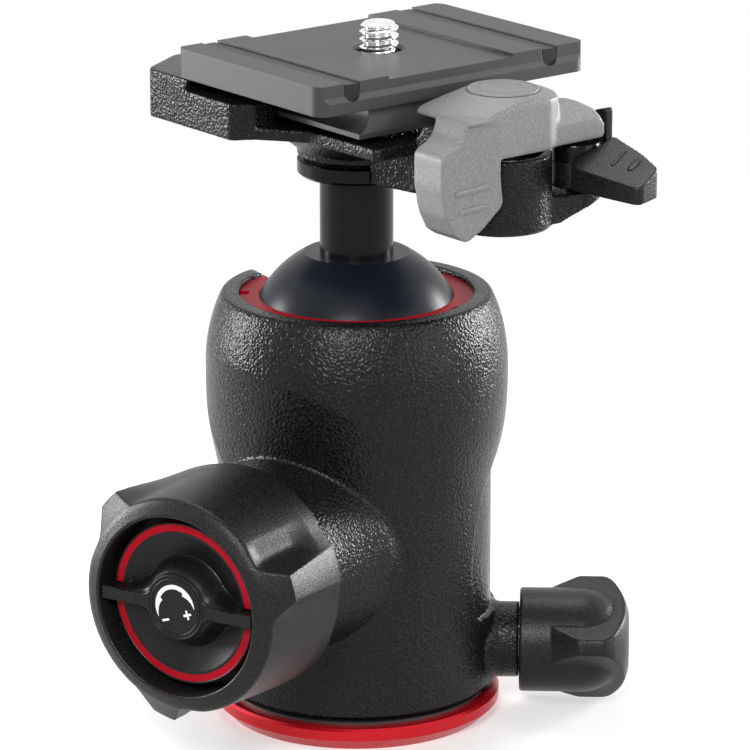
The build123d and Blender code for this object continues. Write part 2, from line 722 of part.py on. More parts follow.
def dial_bar():
    """The bar's sides spread towards the dish that it stands in."""
    reach = KNOB_LIP_R - 0.4
    half = DIAL_BAR_W / 2
    base = dial_bar_outline(half + 0.3, DIAL_HUB_R + DIAL_HUB_FLARE, reach)
    top = dial_bar_outline(half, DIAL_HUB_R, reach)
    shoulder = DIAL_FRONT - 0.8
    lower = loft([Pos(0, 0, DIAL_BACK + 0.5) * base, Pos(0, 0, shoulder) * top], ruled=True)
    return lower + extrude(Pos(0, 0, shoulder) * top, amount=DIAL_FRONT - shoulder)


def friction_dial():
    rim = DIAL_FLOOR_R - 0.35
    dish_r = (rim ** 2 + DISH_DEPTH ** 2) / (2 * DISH_DEPTH)
    solid = cylinder(DIAL_FLOOR_R, DIAL_BACK, DIAL_FACE)
    solid -= Pos(0, 0, DIAL_FACE + dish_r - DISH_DEPTH) * Sphere(dish_r)
    solid += cylinder(DIAL_R, DIAL_BACK, DIAL_FACE - DIAL_RING_H)
    solid += dial_bar()
    solid -= cylinder(DIAL_CAP_R + SEAT, DIAL_FRONT - DIAL_CAP_T, DIAL_FRONT + 1)
    solid -= cylinder(FRICTION_ROD_R + SEAT, 0, DIAL_FACE)
    return KNOB_AXIS * solid


def dial_ring():
    """The dial's red ring, in two arcs either side of the bar."""
    ring = tube(DIAL_R, DIAL_FLOOR_R + SEAT, DIAL_FACE - DIAL_RING_H, DIAL_FACE)
    half = DIAL_BAR_W / 2 + 0.3
    gap = box_between((-DIAL_R - 1, DIAL_R + 1), (-half, half), (0, DIAL_FACE + 1))
    return KNOB_AXIS * (ring - gap)


def dial_cap():
    return KNOB_AXIS * cylinder(DIAL_CAP_R, DIAL_FRONT - DIAL_CAP_T, DIAL_FRONT + 0.1)


def friction_rod():
    return KNOB_AXIS * cylinder(FRICTION_ROD_R, WEDGE_L / 2 - 1.2, DIAL_FACE - GAP)


# ---------------------------------------------------------------- pan lock
def pan_lock_bush():
    return PAN_AXIS * tube(PAN_BUSH_R, PAN_SCREW_R + RUN, PAN_NECK_END - PAN_BUSH_L, PAN_NECK_END)


def pan_lock_screw():
    dog = PAN_SCREW_R - 1.6
    dog_l = 1.2
    back = PAN_KNOB_END - 5
    return PAN_AXIS * turned(
        (0, PAN_TIP - dog_l + PAN_TRAVEL),
        (dog, PAN_TIP - dog_l + PAN_TRAVEL),
        (dog, PAN_TIP + PAN_TRAVEL),
        (PAN_SCREW_R, PAN_TIP + 1.0 + PAN_TRAVEL),
        (PAN_SCREW_R, back),
        (0, back),
    )


def brake_pad():
    """Brass pad whose cone enters the spindle's groove when the pan knob is tightened."""
    slope = GROOVE_DEPTH / GROOVE_HALF
    nose_r = 0.6
    root = SPINDLE_R - GROOVE_DEPTH + 3 * RUN
    back = PAN_TIP - 2 * RUN
    pad = turned(
        (0, root + slope * nose_r),
        (nose_r, root + slope * nose_r),
        (PAN_SCREW_R, root + slope * PAN_SCREW_R),
        (PAN_SCREW_R, back),
        (0, back),
    )
    return PAN_AXIS * (pad - cylinder(PAN_SCREW_R - 1.4, PAN_TIP - 1.4, back + 1))


def pan_knob_core():
    """The round middle of the knob, which shows through the flats as a tongue."""
    dome = PAN_KNOB_END - 4.0
    wall = Polyline(
        (0, dome - 2), (0, PAN_KNOB_START), (PAN_COLLAR_R - 0.3, PAN_KNOB_START),
        (PAN_COLLAR_R, PAN_KNOB_START + 0.3), (PAN_COLLAR_R, PAN_KNOB_END - 8.0),
    )
    over = Spline(
        (PAN_COLLAR_R, PAN_KNOB_END - 8.0),
        (PAN_COLLAR_R - 1.05, dome),
        (PAN_FLAT - 0.7, PAN_KNOB_END - 2.2),
        tangents=[(0, 1), (-0.9, 0.45)],
    )
    inside = Line((PAN_FLAT - 0.7, PAN_KNOB_END - 2.2), (0, dome - 2))
    return revolve(Plane.XZ * make_face(Curve() + [wall, over, inside]), axis=Axis.Z)


def pan_knob_lobes():
    """A three-cornered bar with turned ends: ramps at the rear and a dome at the front."""
    collar_end = PAN_KNOB_START + PAN_COLLAR_L
    shoulder = PAN_KNOB_END - 4.3
    rear = Polyline(
        (0, collar_end), (PAN_COLLAR_R - 0.1, collar_end), (PAN_LOBE_R, collar_end + 4.9), (PAN_LOBE_R, shoulder),
    )
    dome = Spline(
        (PAN_LOBE_R, shoulder),
        (PAN_LOBE_R - 2.2, PAN_KNOB_END - 1.9),
        (PAN_FACE_R, PAN_KNOB_END),
        tangents=[(-0.25, 1), (-1, 0.12)],
    )
    front = Polyline((PAN_FACE_R, PAN_KNOB_END), (0, PAN_KNOB_END), (0, collar_end))
    blank = revolve(Plane.XZ * make_face(Curve() + [rear, dome, front]), axis=Axis.Z)
    bar = extrude(Pos(0, 0, collar_end - 1) * RegularPolygon(2 * PAN_FLAT, 3), amount=PAN_KNOB_L)
    return blank & (Rot(0, 0, PAN_LOBE_TURN) * bar)


def pan_knob():
    solid = pan_knob_core() + pan_knob_lobes()
    return PAN_AXIS * (solid - cylinder(PAN_SCREW_R + SEAT, PAN_KNOB_START - 1, PAN_KNOB_END - 5))


# ---------------------------------------------------------------- quick-release clamp
def jaw_corners():
    """Outer corners of the jaw's side of the platform, from near to far, with their rounds."""
    return [
        (JAW_X + 6.0, NOSE_FAR_Y, 1.0),
        (JAW_X + 4.6, NOSE_FAR_Y - 1.2, 1.0),
        (JAW_X, PLATE_Y + 12.85, 1.6),
        (JAW_X, PLATE_Y - 16.95, 1.6),
        (JAW_X + 4.6, NOSE_Y + 1.2, 1.0),
        (JAW_X + 6.0, NOSE_Y, 1.0),
    ]


def platform_floor():
    right = LEVER_X - 6.9
    near = PLATE_Y - 16.75
    far = PLATE_Y + 16.75
    corners = jaw_corners() + [
        (-1.9, NOSE_Y, 1.2),
        (0.0, NOSE_Y + 3.4, 2.0),
        (7.0, near - 0.5, 2.0),
        (right, near, 1.2),
        (right, far, 1.2),
        (7.0, far + 0.5, 2.0),
        (0.0, NOSE_FAR_Y - 3.4, 2.0),
        (-1.9, NOSE_FAR_Y, 1.2),
    ]
    return rounded_prism(corners, FLOOR_LOW_Z, FLOOR_Z)


def platform_nose():
    """Raised lip in front of the plate's near end, its top sloping away."""
    wall = PLATE_Y - BOSS_L / 2 - GAP
    corners = [
        (JAW_X + 4.6, NOSE_Y + 1.2, 1.0),
        (JAW_X + 6.0, NOSE_Y, 1.0),
        (-1.9, NOSE_Y, 1.2),
        (0.0, NOSE_Y + 3.4, 1.0),
        (0.0, wall, 0.3),
        (JAW_X + 4.6, wall, 0.3),
    ]
    return rounded_prism(corners, FLOOR_LOW_Z, NOSE_TOP_Z)


def fixed_jaw():
    """A wall along the plate's left side, hooked over the plate's flange."""
    outer = [(x, y) for x, y, radius in jaw_corners()]
    wall = prism(outer + [(JAW_FACE_X, NOSE_Y), (JAW_FACE_X, NOSE_FAR_Y)], FLOOR_LOW_Z, JAW_TOP_Z)
    tip = JAW_FACE_X + BOSS_SIDE_UNDERCUT
    hook = Polyline(
        (JAW_FACE_X - 1, BOSS_WAIST_Z),
        (JAW_FACE_X, BOSS_WAIST_Z),
        (tip, PLATE_EDGE_Z - 2 * GAP),
        (tip, JAW_TOP_Z),
        (JAW_FACE_X - 1, JAW_TOP_Z),
        close=True,
    )
    length = NOSE_FAR_Y - NOSE_Y
    lip = extrude(Plane(origin=(0, NOSE_FAR_Y, 0), x_dir=(1, 0, 0), z_dir=(0, -1, 0)) * make_face(hook), amount=length)
    return wall + lip


def platform_hub():
    """The round foot on the stem's flange, with a turned groove, spreading into the floor."""
    neck_z = HUB_Z + HUB_GROOVE_H
    hub = cylinder(FLANGE_R - HUB_GROOVE_DEPTH, HUB_Z, neck_z + 0.1)
    hub += cylinder(FLANGE_R, neck_z, FLOOR_Z)
    cone = loft([
        Pos(0, 0, neck_z + 1.2) * Circle(FLANGE_R),
        Pos(1.0, PLATE_Y, FLOOR_LOW_Z) * RectangleRounded(40.0, 30.0, 6.0),
    ])
    return hub + cone


def lever_post():
    """The post under the lever, the web that carries it and the catch's ear."""
    web = prism([
        (0, -6.0), (LEVER_X, LEVER_Y - 5.5), (LEVER_X, LEVER_Y + 6.5), (0, 8.5),
    ], FLANGE_Z + 0.5, FLOOR_Z - 1)
    web -= cylinder(FLANGE_R + GAP, 0, HUB_Z + HUB_GROOVE_H)
    post = LEVER_AXIS * cylinder(POST_R, POST_Z, POST_TOP_Z)
    post = fillet(post.edges().group_by(Axis.Z)[0], 0.8)
    return web + post + catch_ear()


def catch_ear():
    low = POST_Z + 0.6
    high = CATCH_Z - GAP
    ear = prism([
        (LEVER_X - 2.0, LEVER_Y + 5.0),
        (LEVER_X + 6.0, LEVER_Y + 3.0),
        (CATCH_X + 4.1, CATCH_Y),
        (CATCH_X - 4.1, CATCH_Y),
    ], low, high)
    ear += CATCH_AXIS * cylinder(4.2, low, high)
    return ear - Pos(CATCH_X, LEVER_Y + 6.5, low) * Rot(22, 0, 0) * Pos(0, 10, -5) * Box(30, 22, 10)


def lever_sweep():
    """The space that the lever turns through above the platform."""
    near = LEVER_AXIS * cylinder(13.4, POST_TOP_Z, JAW_TOP_Z)
    far = LEVER_AXIS * cylinder(NOSE_REACH + 1.9, LEVER_Z - 0.4, JAW_TOP_Z)
    return near + (far & box_between((0, 60), (LEVER_Y, 60), (0, 200)))


def clamp_platform():
    pad = box_between((-10, 19), (-9, 13), (FLOOR_Z - 1, BOSS_Z))
    solid = platform_floor() + platform_nose() + fixed_jaw() + pad + platform_hub() + lever_post()
    solid -= lever_sweep()
    bore = PLATFORM_SCREW_R + SEAT
    head_z = FLOOR_Z - GAP
    solid -= cylinder(bore, HUB_Z - 1, BOSS_Z + 1)
    solid -= turned(
        (0, head_z - 2.7 - SEAT), (bore, head_z - 2.7 - SEAT), (bore + 2.75, head_z), (bore + 2.75, BOSS_Z + 1), (0, BOSS_Z + 1),
    )
    solid -= LEVER_AXIS * cylinder(PIVOT_TIP_R + SEAT, POST_Z + 1.5, POST_TOP_Z + 1)
    solid -= LEVER_AXIS * cylinder(SPRING_POCKET_R, POST_TOP_Z - SPRING_POCKET_DEPTH, POST_TOP_Z + 1)
    solid -= CATCH_AXIS * cylinder(CATCH_PIN_R + SEAT, POST_Z, CATCH_Z + 1)
    solid -= TRIGGER_AXIS * cylinder(TRIGGER_R + RUN, BOSS_Z - 4.2, BOSS_Z + 1)
    return HEAD * solid


# ---------------------------------------------------------------- lever
def lever_pivot():
    """Shoulder screw that carries the lever."""
    seat = POST_TOP_Z - SPRING_POCKET_DEPTH
    head = LEVER_DISC_Z - 0.1
    return HEAD * LEVER_AXIS * turned(
        (0, POST_Z + 1.7),
        (PIVOT_TIP_R, POST_Z + 1.7),
        (PIVOT_TIP_R, seat),
        (PIVOT_R, seat),
        (PIVOT_R, head - 1.7),
        (PIVOT_R + 1.6, head - 1.7),
        (PIVOT_R + 1.6, head),
        (0, head),
    )


def lever_spring():
    """Closing spring round the pivot: close-wound turns of flat wire."""
    low = POST_TOP_Z - SPRING_POCKET_DEPTH + 0.1
    pitch = 1.1
    turns = []
    for n in range(4):
        start = low + n * pitch
        turns.append(HEAD * LEVER_AXIS * tube(5.4, PIVOT_R + 0.9, start, start + pitch - 0.2))
    return turns


def lever_head():
    """The block over the pivot: upright front wall, and a sloping skirt round the disc."""
    near = -LEVER_NEAR
    front = LEVER_FRONT
    corners = [
        (-7.7, near + 2.0, 1.5),
        (-6.0, near, 1.5),
        (front - 1.6, near, 1.5),
        (front, near + 1.4, 1.5),
        (front, 3.5, 2.2),
        (6.4, 6.1, 2.0),
        (3.4, 8.0, 2.0),
        (-3.8, 8.0, 3.5),
        (-7.7, 4.6, 3.5),
    ]
    block = rounded_prism(corners, LEVER_Z, LEVER_TOP_Z)
    block = chamfer(block.edges().group_by(Axis.Z)[-1], 0.8)
    block &= lever_skirt()
    swing = LEVER_AWAY - GAP
    block -= box_between((-12, 0), (0, 12), (LEVER_Z - 1, LEVER_TOP_Z + 1)) - cylinder(swing, 0, LEVER_TOP_Z + 2)
    under = LEVER_TOP_Z - 3.3
    relief = box_between((-12, 0), (near - 1, 12), (LEVER_Z - 1, under)) - cylinder(LEVER_HUB_R, LEVER_Z - 1, under + 1)
    relief += box_between((-1, NOSE_INNER), (5.6, 20), (LEVER_Z - 1, under)) - cylinder(LEVER_HUB_R, LEVER_Z - 1, under + 1)
    behind = Pos(-7.7, 0, LEVER_TOP_Z - 2.4) * Rot(0, 46, 0) * Pos(-6, 0, 0) * Box(12, 60, 12)
    return block - relief - behind


def lever_skirt():
    """The turned envelope that slopes the head's top away from the disc."""
    rim = LEVER_CAP_R + 0.2
    reach = 18.0
    drop = 0.36 * (reach - rim)
    return turned((0, LEVER_Z), (reach, LEVER_Z), (reach, LEVER_TOP_Z - drop), (rim, LEVER_TOP_Z), (0, LEVER_TOP_Z))


def paddle_hollow():
    """The slanting cut that sets the thumb face back from the head's front wall."""
    corner = Pos(LEVER_FRONT, -LEVER_NEAR + 5.9, 0) * Rot(0, 0, -8)
    return corner * box_between((0, 10), (-20, 0), (POST_Z, LEVER_TOP_Z - 3.0))


def lever_nose():
    """The arm towards the catch, with a broad bevel and a narrow rounded tip."""
    z = LEVER_Z
    side = rounded_outline([
        (0.9, z, 0.2),
        (NOSE_REACH - 0.2, z + 0.1, 0.5),
        (NOSE_REACH, z + 2.3, 0.6),
        (NOSE_REACH - 1.6, z + 4.9, 1.5),
        (NOSE_REACH - 4.6, z + 6.5, 3.0),
        (0.9, z + 7.5, 0.2),
    ])
    section = rounded_outline([
        (NOSE_INNER, z - 1, 0.2),
        (NOSE_OUTER, z - 1, 0.2),
        (NOSE_OUTER, z + 3.7, 0.8),
        (NOSE_OUTER - 2.3, z + 7.5, 0.8),
        (NOSE_INNER, z + 7.5, 0.2),
    ])
    arm = extrude(Plane.YZ * side, amount=NOSE_OUTER)
    return arm & extrude(Plane.XZ * section, amount=-NOSE_REACH - 1)


def lever_paddle():
    """The thumb piece: it sweeps down from the head's near end, its front face hollowed back."""
    z = LEVER_Z
    side = rounded_outline([
        (-6.5, z + 7.0, 0.2),
        (-6.5, z - 2.6, 0.4),
        (-5.9, z - 7.2, 1.6),
        (-9.7, z - 10.8, 3.0),
        (-12.6, z - 12.7, 1.3),
        (-14.9, z - 11.2, 1.6),
        (-16.5, z - 8.0, 5.0),
        (-17.3, z - 3.6, 6.0),
        (-17.3, z + 1.7, 1.5),
        (-13.9, z + 3.3, 3.0),
        (-12.6, z + 7.0, 0.3),
    ])
    back = -PADDLE_BACK
    solid = Pos(back, 0, 0) * extrude(Plane.YZ * side, amount=LEVER_FRONT - back)
    return solid - cylinder(POST_R + GAP + 0.1, POST_Z - 1, LEVER_Z)


def lever_cam():
    """The lip that closes over the plate's flange."""
    low = BOSS_WAIST_Z + GAP + RUN
    high = low + 1.45
    lip = turned((0, low), (CAM_R - 0.6, low), (CAM_R, high), (0, high))
    sector = prism([(0, 0), (-20, -1.7), (-20, -28), (-14, -20)], low - 1, high + 1)
    return lip & sector


def lever():
    solid = lever_head() + lever_paddle() - paddle_hollow() + lever_nose() + lever_cam()
    head = LEVER_DISC_Z - 0.1
    solid -= cylinder(PIVOT_R + RUN, LEVER_Z - 1, head - 1)
    solid -= cylinder(PIVOT_R + 1.8, head - 1.75, LEVER_DISC_Z)
    solid -= cylinder(LEVER_CAP_R + SEAT, LEVER_DISC_Z, LEVER_TOP_Z + 1)
    return HEAD * LEVER_AXIS * solid


def lever_cap():
    return HEAD * LEVER_AXIS * cylinder(LEVER_CAP_R, LEVER_DISC_Z, LEVER_TOP_Z + RUN)


# ---------------------------------------------------------------- safety catch
def catch_paddle():
    """The thumb pad: its top rises away from the lever, its free end is cut at a slant."""
    plan = rounded_prism([
        (2.5, 0.0, 0.3),
        (4.4, -5.3, 1.0),
        (19.2, -3.6, 1.2),
        (17.6, 1.8, 1.4),
        (12.5, 3.1, 3.0),
        (4.3, 4.1, 0.3),
        (2.5, 4.1, 0.3),
    ], CATCH_Z - 3, CATCH_Z + 12)
    side = rounded_outline([
        (-5.3, CATCH_Z + 0.7, 0.6),
        (4.1, CATCH_Z + 1.1, 0.6),
        (4.1, CATCH_Z + 8.1, 0.6),
        (2.9, CATCH_Z + 8.4, 0.8),
        (-5.3, CATCH_TOP_Z + 1.0, 0.8),
    ])
    pad = plan & extrude(Plane.YZ * side, amount=25)
    top = Plane(origin=(4.4, -5.3, CATCH_TOP_Z + 0.3), z_dir=(0.12, -0.39, 1))
    return pad - extrude(top * Rectangle(60, 60), amount=20)


def catch_tab():
    """The upright tab that stands behind the lever's nose, with its top cut at a slant."""
    low = CATCH_Z
    high = LEVER_Z + 4.4
    face = rounded_outline([
        (-1.6, low, 0.2),
        (1.6, low, 0.2),
        (1.6, high, 0.5),
        (-1.6, high - 1.0, 0.8),
    ])
    return Pos(0, 6.4, 0) * extrude(Plane.XZ * face, amount=1.6)


def safety_catch():
    """Sprung thumb catch that holds the lever shut."""
    hub = cylinder(4.0, CATCH_Z, CATCH_TOP_Z)
    arm = prism([(-2.6, -1.0), (4.3, -1.0), (4.6, 6.4), (-2.0, 6.4)], CATCH_Z, CATCH_TOP_Z)
    solid = hub + arm + catch_paddle() + catch_tab()
    solid -= cylinder(CATCH_PIN_R + RUN, CATCH_Z - 1, CATCH_TOP_Z + 6)
    solid -= cylinder(2.9, CATCH_TOP_Z, CATCH_TOP_Z + 6)
    solid -= box_between((-6, 4.4), (-8, 4.0), (LEVER_Z - 1.2, LEVER_TOP_Z))
    return HEAD * CATCH_AXIS * solid


def catch_pin():
    head = CATCH_TOP_Z + 0.1
    return HEAD * CATCH_AXIS * turned(
        (0, POST_Z + 2.6),
        (CATCH_PIN_R, POST_Z + 2.6),
        (CATCH_PIN_R, head),
        (CATCH_PIN_R + 1.1, head),
        (CATCH_PIN_R + 1.1, head + 0.8),
        (0, head + 0.8),
    )


def trigger_pin():
    """Button under the plate that holds the lever open until a plate lands on it."""
    low = BOSS_Z - 3.3
    edge = 0.5
    return HEAD * TRIGGER_AXIS * turned(
        (0, low), (TRIGGER_R, low), (TRIGGER_R, BOSS_Z - edge), (TRIGGER_R - edge, BOSS_Z), (0, BOSS_Z),
    )


# ---------------------------------------------------------------- plate
def plate_boss():
    """The foot that the jaws hold: a flange with slanting sides and hollow ends above it."""
    half_w = BOSS_W / 2
    half_l = BOSS_L / 2
    top = PLATE_EDGE_Z + 0.1
    sides = make_face(Polyline(
        (-half_w, BOSS_Z), (half_w, BOSS_Z), (half_w, BOSS_WAIST_Z), (half_w - BOSS_SIDE_UNDERCUT, top),
        (-half_w + BOSS_SIDE_UNDERCUT, top), (-half_w, BOSS_WAIST_Z), close=True,
    ))
    inner = half_l - BOSS_END_UNDERCUT
    hollow = ThreePointArc((half_l, BOSS_WAIST_Z), (inner + 0.7, BOSS_WAIST_Z + 1.5), (inner, top))
    lines = Polyline((inner, top), (-inner, top))
    other = mirror(hollow, about=Plane.YZ)
    foot = Polyline((-half_l, BOSS_WAIST_Z), (-half_l, BOSS_Z), (half_l, BOSS_Z), (half_l, BOSS_WAIST_Z))
    ends = make_face(Curve() + [hollow, lines, other, foot])
    along_y = extrude(Plane.XZ * sides, amount=BOSS_L, both=True)
    along_x = extrude(Plane.YZ * ends, amount=BOSS_W, both=True)
    return along_y & along_x


def plate_slab():
    """The plate proper: a thin waisted edge under two raised lands."""
    half = PLATE_W / 2
    waist = PLATE_TOP_Z - 2.0
    inset = 0.4
    section = make_face(Polyline(
        (-half, PLATE_EDGE_Z), (half, PLATE_EDGE_Z), (half, waist - 0.9), (half - inset, waist),
        (half - inset, PLATE_TOP_Z), (-half + inset, PLATE_TOP_Z), (-half + inset, waist), (-half, waist - 0.9),
        close=True,
    ))
    bar = extrude(Plane.XZ * section, amount=PLATE_L, both=True)
    plan = extrude(Pos(0, 0, PLATE_EDGE_Z) * RectangleRounded(PLATE_W, PLATE_L, PLATE_CORNER), amount=PLATE_T)
    slab = Pos(0, PLATE_SHIFT, 0) * (bar & plan)
    field = box_between((-PLATE_W, PLATE_W), (-FIELD_L / 2 - 0.1, FIELD_L / 2 - 0.1), (FIELD_Z, PLATE_TOP_Z + 1))
    return slab - field


def release_plate():
    solid = plate_slab() + plate_boss()
    centre = PLATE_TOP_Z - CORD_SUNK
    for sign in (-1, 1):
        groove = Pos(0, sign * CORD_OFFSET, centre) * Rot(0, 90, 0) * Cylinder(CORD_R + SEAT, 2 * PLATE_W)
        mouth = box_between((-PLATE_W, PLATE_W), (-CORD_R, CORD_R), (centre, PLATE_TOP_Z + 1))
        solid -= groove + Pos(0, sign * CORD_OFFSET, 0) * mouth
    pocket = BOSS_Z + 0.8 + SCREW_HEAD_H + 0.4
    solid -= cylinder(SCREW_HOLE_R, BOSS_Z, PLATE_TOP_Z + 1)
    solid -= cylinder(SCREW_HEAD_R + 1.0, BOSS_Z - 1, pocket)
    solid -= turned((0, FIELD_Z - 0.5), (SCREW_HOLE_R, FIELD_Z - 0.5), (SCREW_HOLE_R + 0.7, FIELD_Z + 0.2), (0, FIELD_Z + 0.2))
    return HEAD * SCREW_AXIS * solid


def grip_cord(sign):
    """Rubber strip in the plate's cross groove."""
    centre = PLATE_TOP_Z - CORD_SUNK
    cord = Pos(0, sign * CORD_OFFSET, centre) * Rot(0, 90, 0) * Cylinder(CORD_R, PLATE_W - 0.8)
    cord &= box_between((-60, 60), (-60, 60), (0, centre + CORD_PROUD))
    return HEAD * SCREW_AXIS * cord


def camera_screw():
    """Captive screw: the relieved shank lets it drop, the thread stands above the field."""
    head = BOSS_Z + 0.8
    solid = turned(
        (0, head),
        (SCREW_HEAD_R, head),
        (SCREW_HEAD_R, head + SCREW_HEAD_H),
        (SCREW_SHANK_R, head + SCREW_HEAD_H),
        (SCREW_SHANK_R, FIELD_Z + 2 * RUN),
        (SCREW_R, FIELD_Z + 2 * RUN),
        (SCREW_R, SCREW_TIP_Z - SCREW_POINT),
        (SCREW_R - SCREW_POINT, SCREW_TIP_Z),
        (0, SCREW_TIP_Z),
    )
    slot = box_between((-SCREW_HEAD_R - 1, SCREW_HEAD_R + 1), (-0.7, 0.7), (head - 1, head + 1.1))
    return HEAD * SCREW_AXIS * (solid - slot)


# ---------------------------------------------------------------- export
NODES = {
    "base_disc": base_disc(),
    "pan_spindle": pan_spindle(),
    "thread_insert": thread_insert(),
    "thrust_washer": thrust_washer(),
    "body_casting": body_casting(),
    "retaining_screws": retaining_screws(),
    "friction_ring": friction_ring(),
    "ball_seat": ball_seat(),
    "ball": ball(),
    "ball_stem": ball_stem(),
    "platform_screw": platform_screw(),
    "seat_pusher": seat_pusher(),
    "lock_wedge": lock_wedge(),
    "lock_bush": lock_bush(),
    "lock_screw": lock_screw(),
    "lock_knob": lock_knob(),
    "dial_springs": dial_springs(),
    "friction_dial": friction_dial(),
    "dial_ring": dial_ring(),
    "dial_cap": dial_cap(),
    "friction_rod": friction_rod(),
    "pan_lock_bush": pan_lock_bush(),
    "pan_lock_screw": pan_lock_screw(),
    "brake_pad": brake_pad(),
    "pan_knob": pan_knob(),
    "clamp_platform": clamp_platform(),
    "lever_pivot": lever_pivot(),
    "lever_spring": lever_spring(),
    "lever": lever(),
    "lever_cap": lever_cap(),
    "safety_catch": safety_catch(),
    "catch_pin": catch_pin(),
    "trigger_pin": trigger_pin(),
    "release_plate": release_plate(),
    "grip_cord_near": grip_cord(-1),
    "grip_cord_far": grip_cord(1),
    "camera_screw": camera_screw(),
}

os.makedirs("parts", exist_ok=True)
for name, shape in NODES.items():
    solid = Compound(children=list(shape)) if isinstance(shape, list) else shape
    export_step(solid, f"parts/{name}.step")
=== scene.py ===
import json
from math import cos, pi, radians, sin, sqrt

import bpy
from mathutils import Matrix, Vector


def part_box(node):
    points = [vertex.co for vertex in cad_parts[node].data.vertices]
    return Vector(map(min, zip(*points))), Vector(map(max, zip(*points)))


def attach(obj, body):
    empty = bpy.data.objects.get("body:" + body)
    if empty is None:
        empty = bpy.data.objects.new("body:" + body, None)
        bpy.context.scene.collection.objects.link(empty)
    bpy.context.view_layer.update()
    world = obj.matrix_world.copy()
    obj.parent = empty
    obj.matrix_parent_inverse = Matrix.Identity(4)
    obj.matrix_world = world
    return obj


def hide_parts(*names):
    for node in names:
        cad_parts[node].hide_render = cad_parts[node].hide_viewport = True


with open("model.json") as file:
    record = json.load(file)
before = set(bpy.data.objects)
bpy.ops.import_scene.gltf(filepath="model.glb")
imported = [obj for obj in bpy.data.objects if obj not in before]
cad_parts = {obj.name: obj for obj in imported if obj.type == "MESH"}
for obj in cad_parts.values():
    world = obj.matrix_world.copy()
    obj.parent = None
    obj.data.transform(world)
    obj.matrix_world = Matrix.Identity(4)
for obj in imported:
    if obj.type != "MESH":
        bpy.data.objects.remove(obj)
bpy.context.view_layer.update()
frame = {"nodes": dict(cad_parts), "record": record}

NODES = frame["nodes"]
MM = 0.001


# ---------------------------------------------------------------- materials
class Shader:
    """A Principled material and a short way to add nodes to it."""

    def __init__(self, name, color, roughness, metallic=0.0, specular=0.5, edge_mm=0.0):
        self.material = bpy.data.materials.new(name)
        self.material.use_nodes = True
        self.tree = self.material.node_tree
        self.bsdf = self.tree.nodes["Principled BSDF"]
        self.bsdf.inputs["Base Color"].default_value = (*color, 1)
        self.bsdf.inputs["Roughness"].default_value = roughness
        self.bsdf.inputs["Metallic"].default_value = metallic
        self.bsdf.inputs["Specular IOR Level"].default_value = specular
        self.coords = self.add("ShaderNodeTexCoord").outputs["Object"]
        self.normal = None
        if edge_mm:
            bevel = self.add("ShaderNodeBevel", {"Radius": edge_mm * MM}, samples=4)
            self.normal = bevel.outputs["Normal"]

    def add(self, kind, inputs=None, **settings):
        node = self.tree.nodes.new(kind)
        for key, value in settings.items():
            setattr(node, key, value)
        for key, value in (inputs or {}).items():
            if isinstance(value, bpy.types.NodeSocket):
                self.tree.links.new(value, node.inputs[key])
            else:
                node.inputs[key].default_value = value
        return node

    def link(self, socket, name):
        self.tree.links.new(socket, self.bsdf.inputs[name])

    def noise(self, size_mm, detail=2.0, roughness=0.5, coords=None):
        return self.add("ShaderNodeTexNoise", {
            "Vector": coords or self.coords,
            "Scale": 1 / (size_mm * MM),
            "Detail": detail,
            "Roughness": roughness,
        }).outputs["Fac"]

    def ramp(self, fac, low, high, start=0.0, end=1.0):
        return self.add("ShaderNodeMapRange", {
            "Value": fac, "From Min": start, "From Max": end, "To Min": low, "To Max": high,
        }).outputs["Result"]

    def mix_color(self, fac, a, b):
        node = self.add("ShaderNodeMix", data_type="RGBA")
        self.tree.links.new(fac, node.inputs["Factor"])
        node.inputs["A"].default_value = (*a, 1)
        node.inputs["B"].default_value = (*b, 1)
        return node.outputs["Result"]

    def bump(self, height, distance_mm):
        inputs = {"Height": height, "Distance": distance_mm * MM, "Strength": 1.0}
        if self.normal is not None:
            inputs["Normal"] = self.normal
        self.normal = self.add("ShaderNodeBump", inputs).outputs["Normal"]
        self.link(self.normal, "Normal")


def tinted(color, factor):
    return tuple(channel * factor for channel in color)


def powder_coat(name, color, size_mm, depth_mm, roughness, specular):
    """Textured coating: rounded grains packed together, with pale flecks in the colour that are painted
    glints of the grains.
    """
    s = Shader(name, color, roughness, 0.0, specular)
    grain = s.noise(size_mm, 1.0, 0.4)
    fleck = s.noise(size_mm * 0.8, 2.0, 0.6)
    broad = s.noise(14.0, 2.0)
    s.bump(grain, depth_mm)
    # painted glints: pale flecks in the base colour stand in for the sparkle highlights on the grains
    s.link(s.mix_color(s.ramp(fleck, 0, 1, 0.42, 0.72), color, tinted(color, 6)), "Base Color")
    s.link(s.ramp(broad, roughness - 0.04, roughness + 0.06, 0.3, 0.7), "Roughness")
    return s.material


def moulded(
    name, color, size_mm, depth_mm, roughness, specular=0.5, metallic=0.0, edge_mm=0.0, flecks=0.05,
):
    """Finely grained moulding or paint; flecks is how far its colour varies."""
    s = Shader(name, color, roughness, metallic, specular, edge_mm)
    fine = s.noise(size_mm, 2.0, 0.6)
    fleck = s.noise(size_mm * 1.3, 1.0, 0.5)
    s.bump(fine, depth_mm)
    dark, light = tinted(color, 1 - flecks), tinted(color, 1 + 3 * flecks)
    s.link(s.mix_color(s.ramp(fleck, 0, 1, 0.35, 0.75), dark, light), "Base Color")
    s.link(s.ramp(fine, roughness - 0.05, roughness + 0.05, 0.3, 0.7), "Roughness")
    return s.material


STREAK_MM, STREAK_DEPTH_MM = 0.15, 0.002


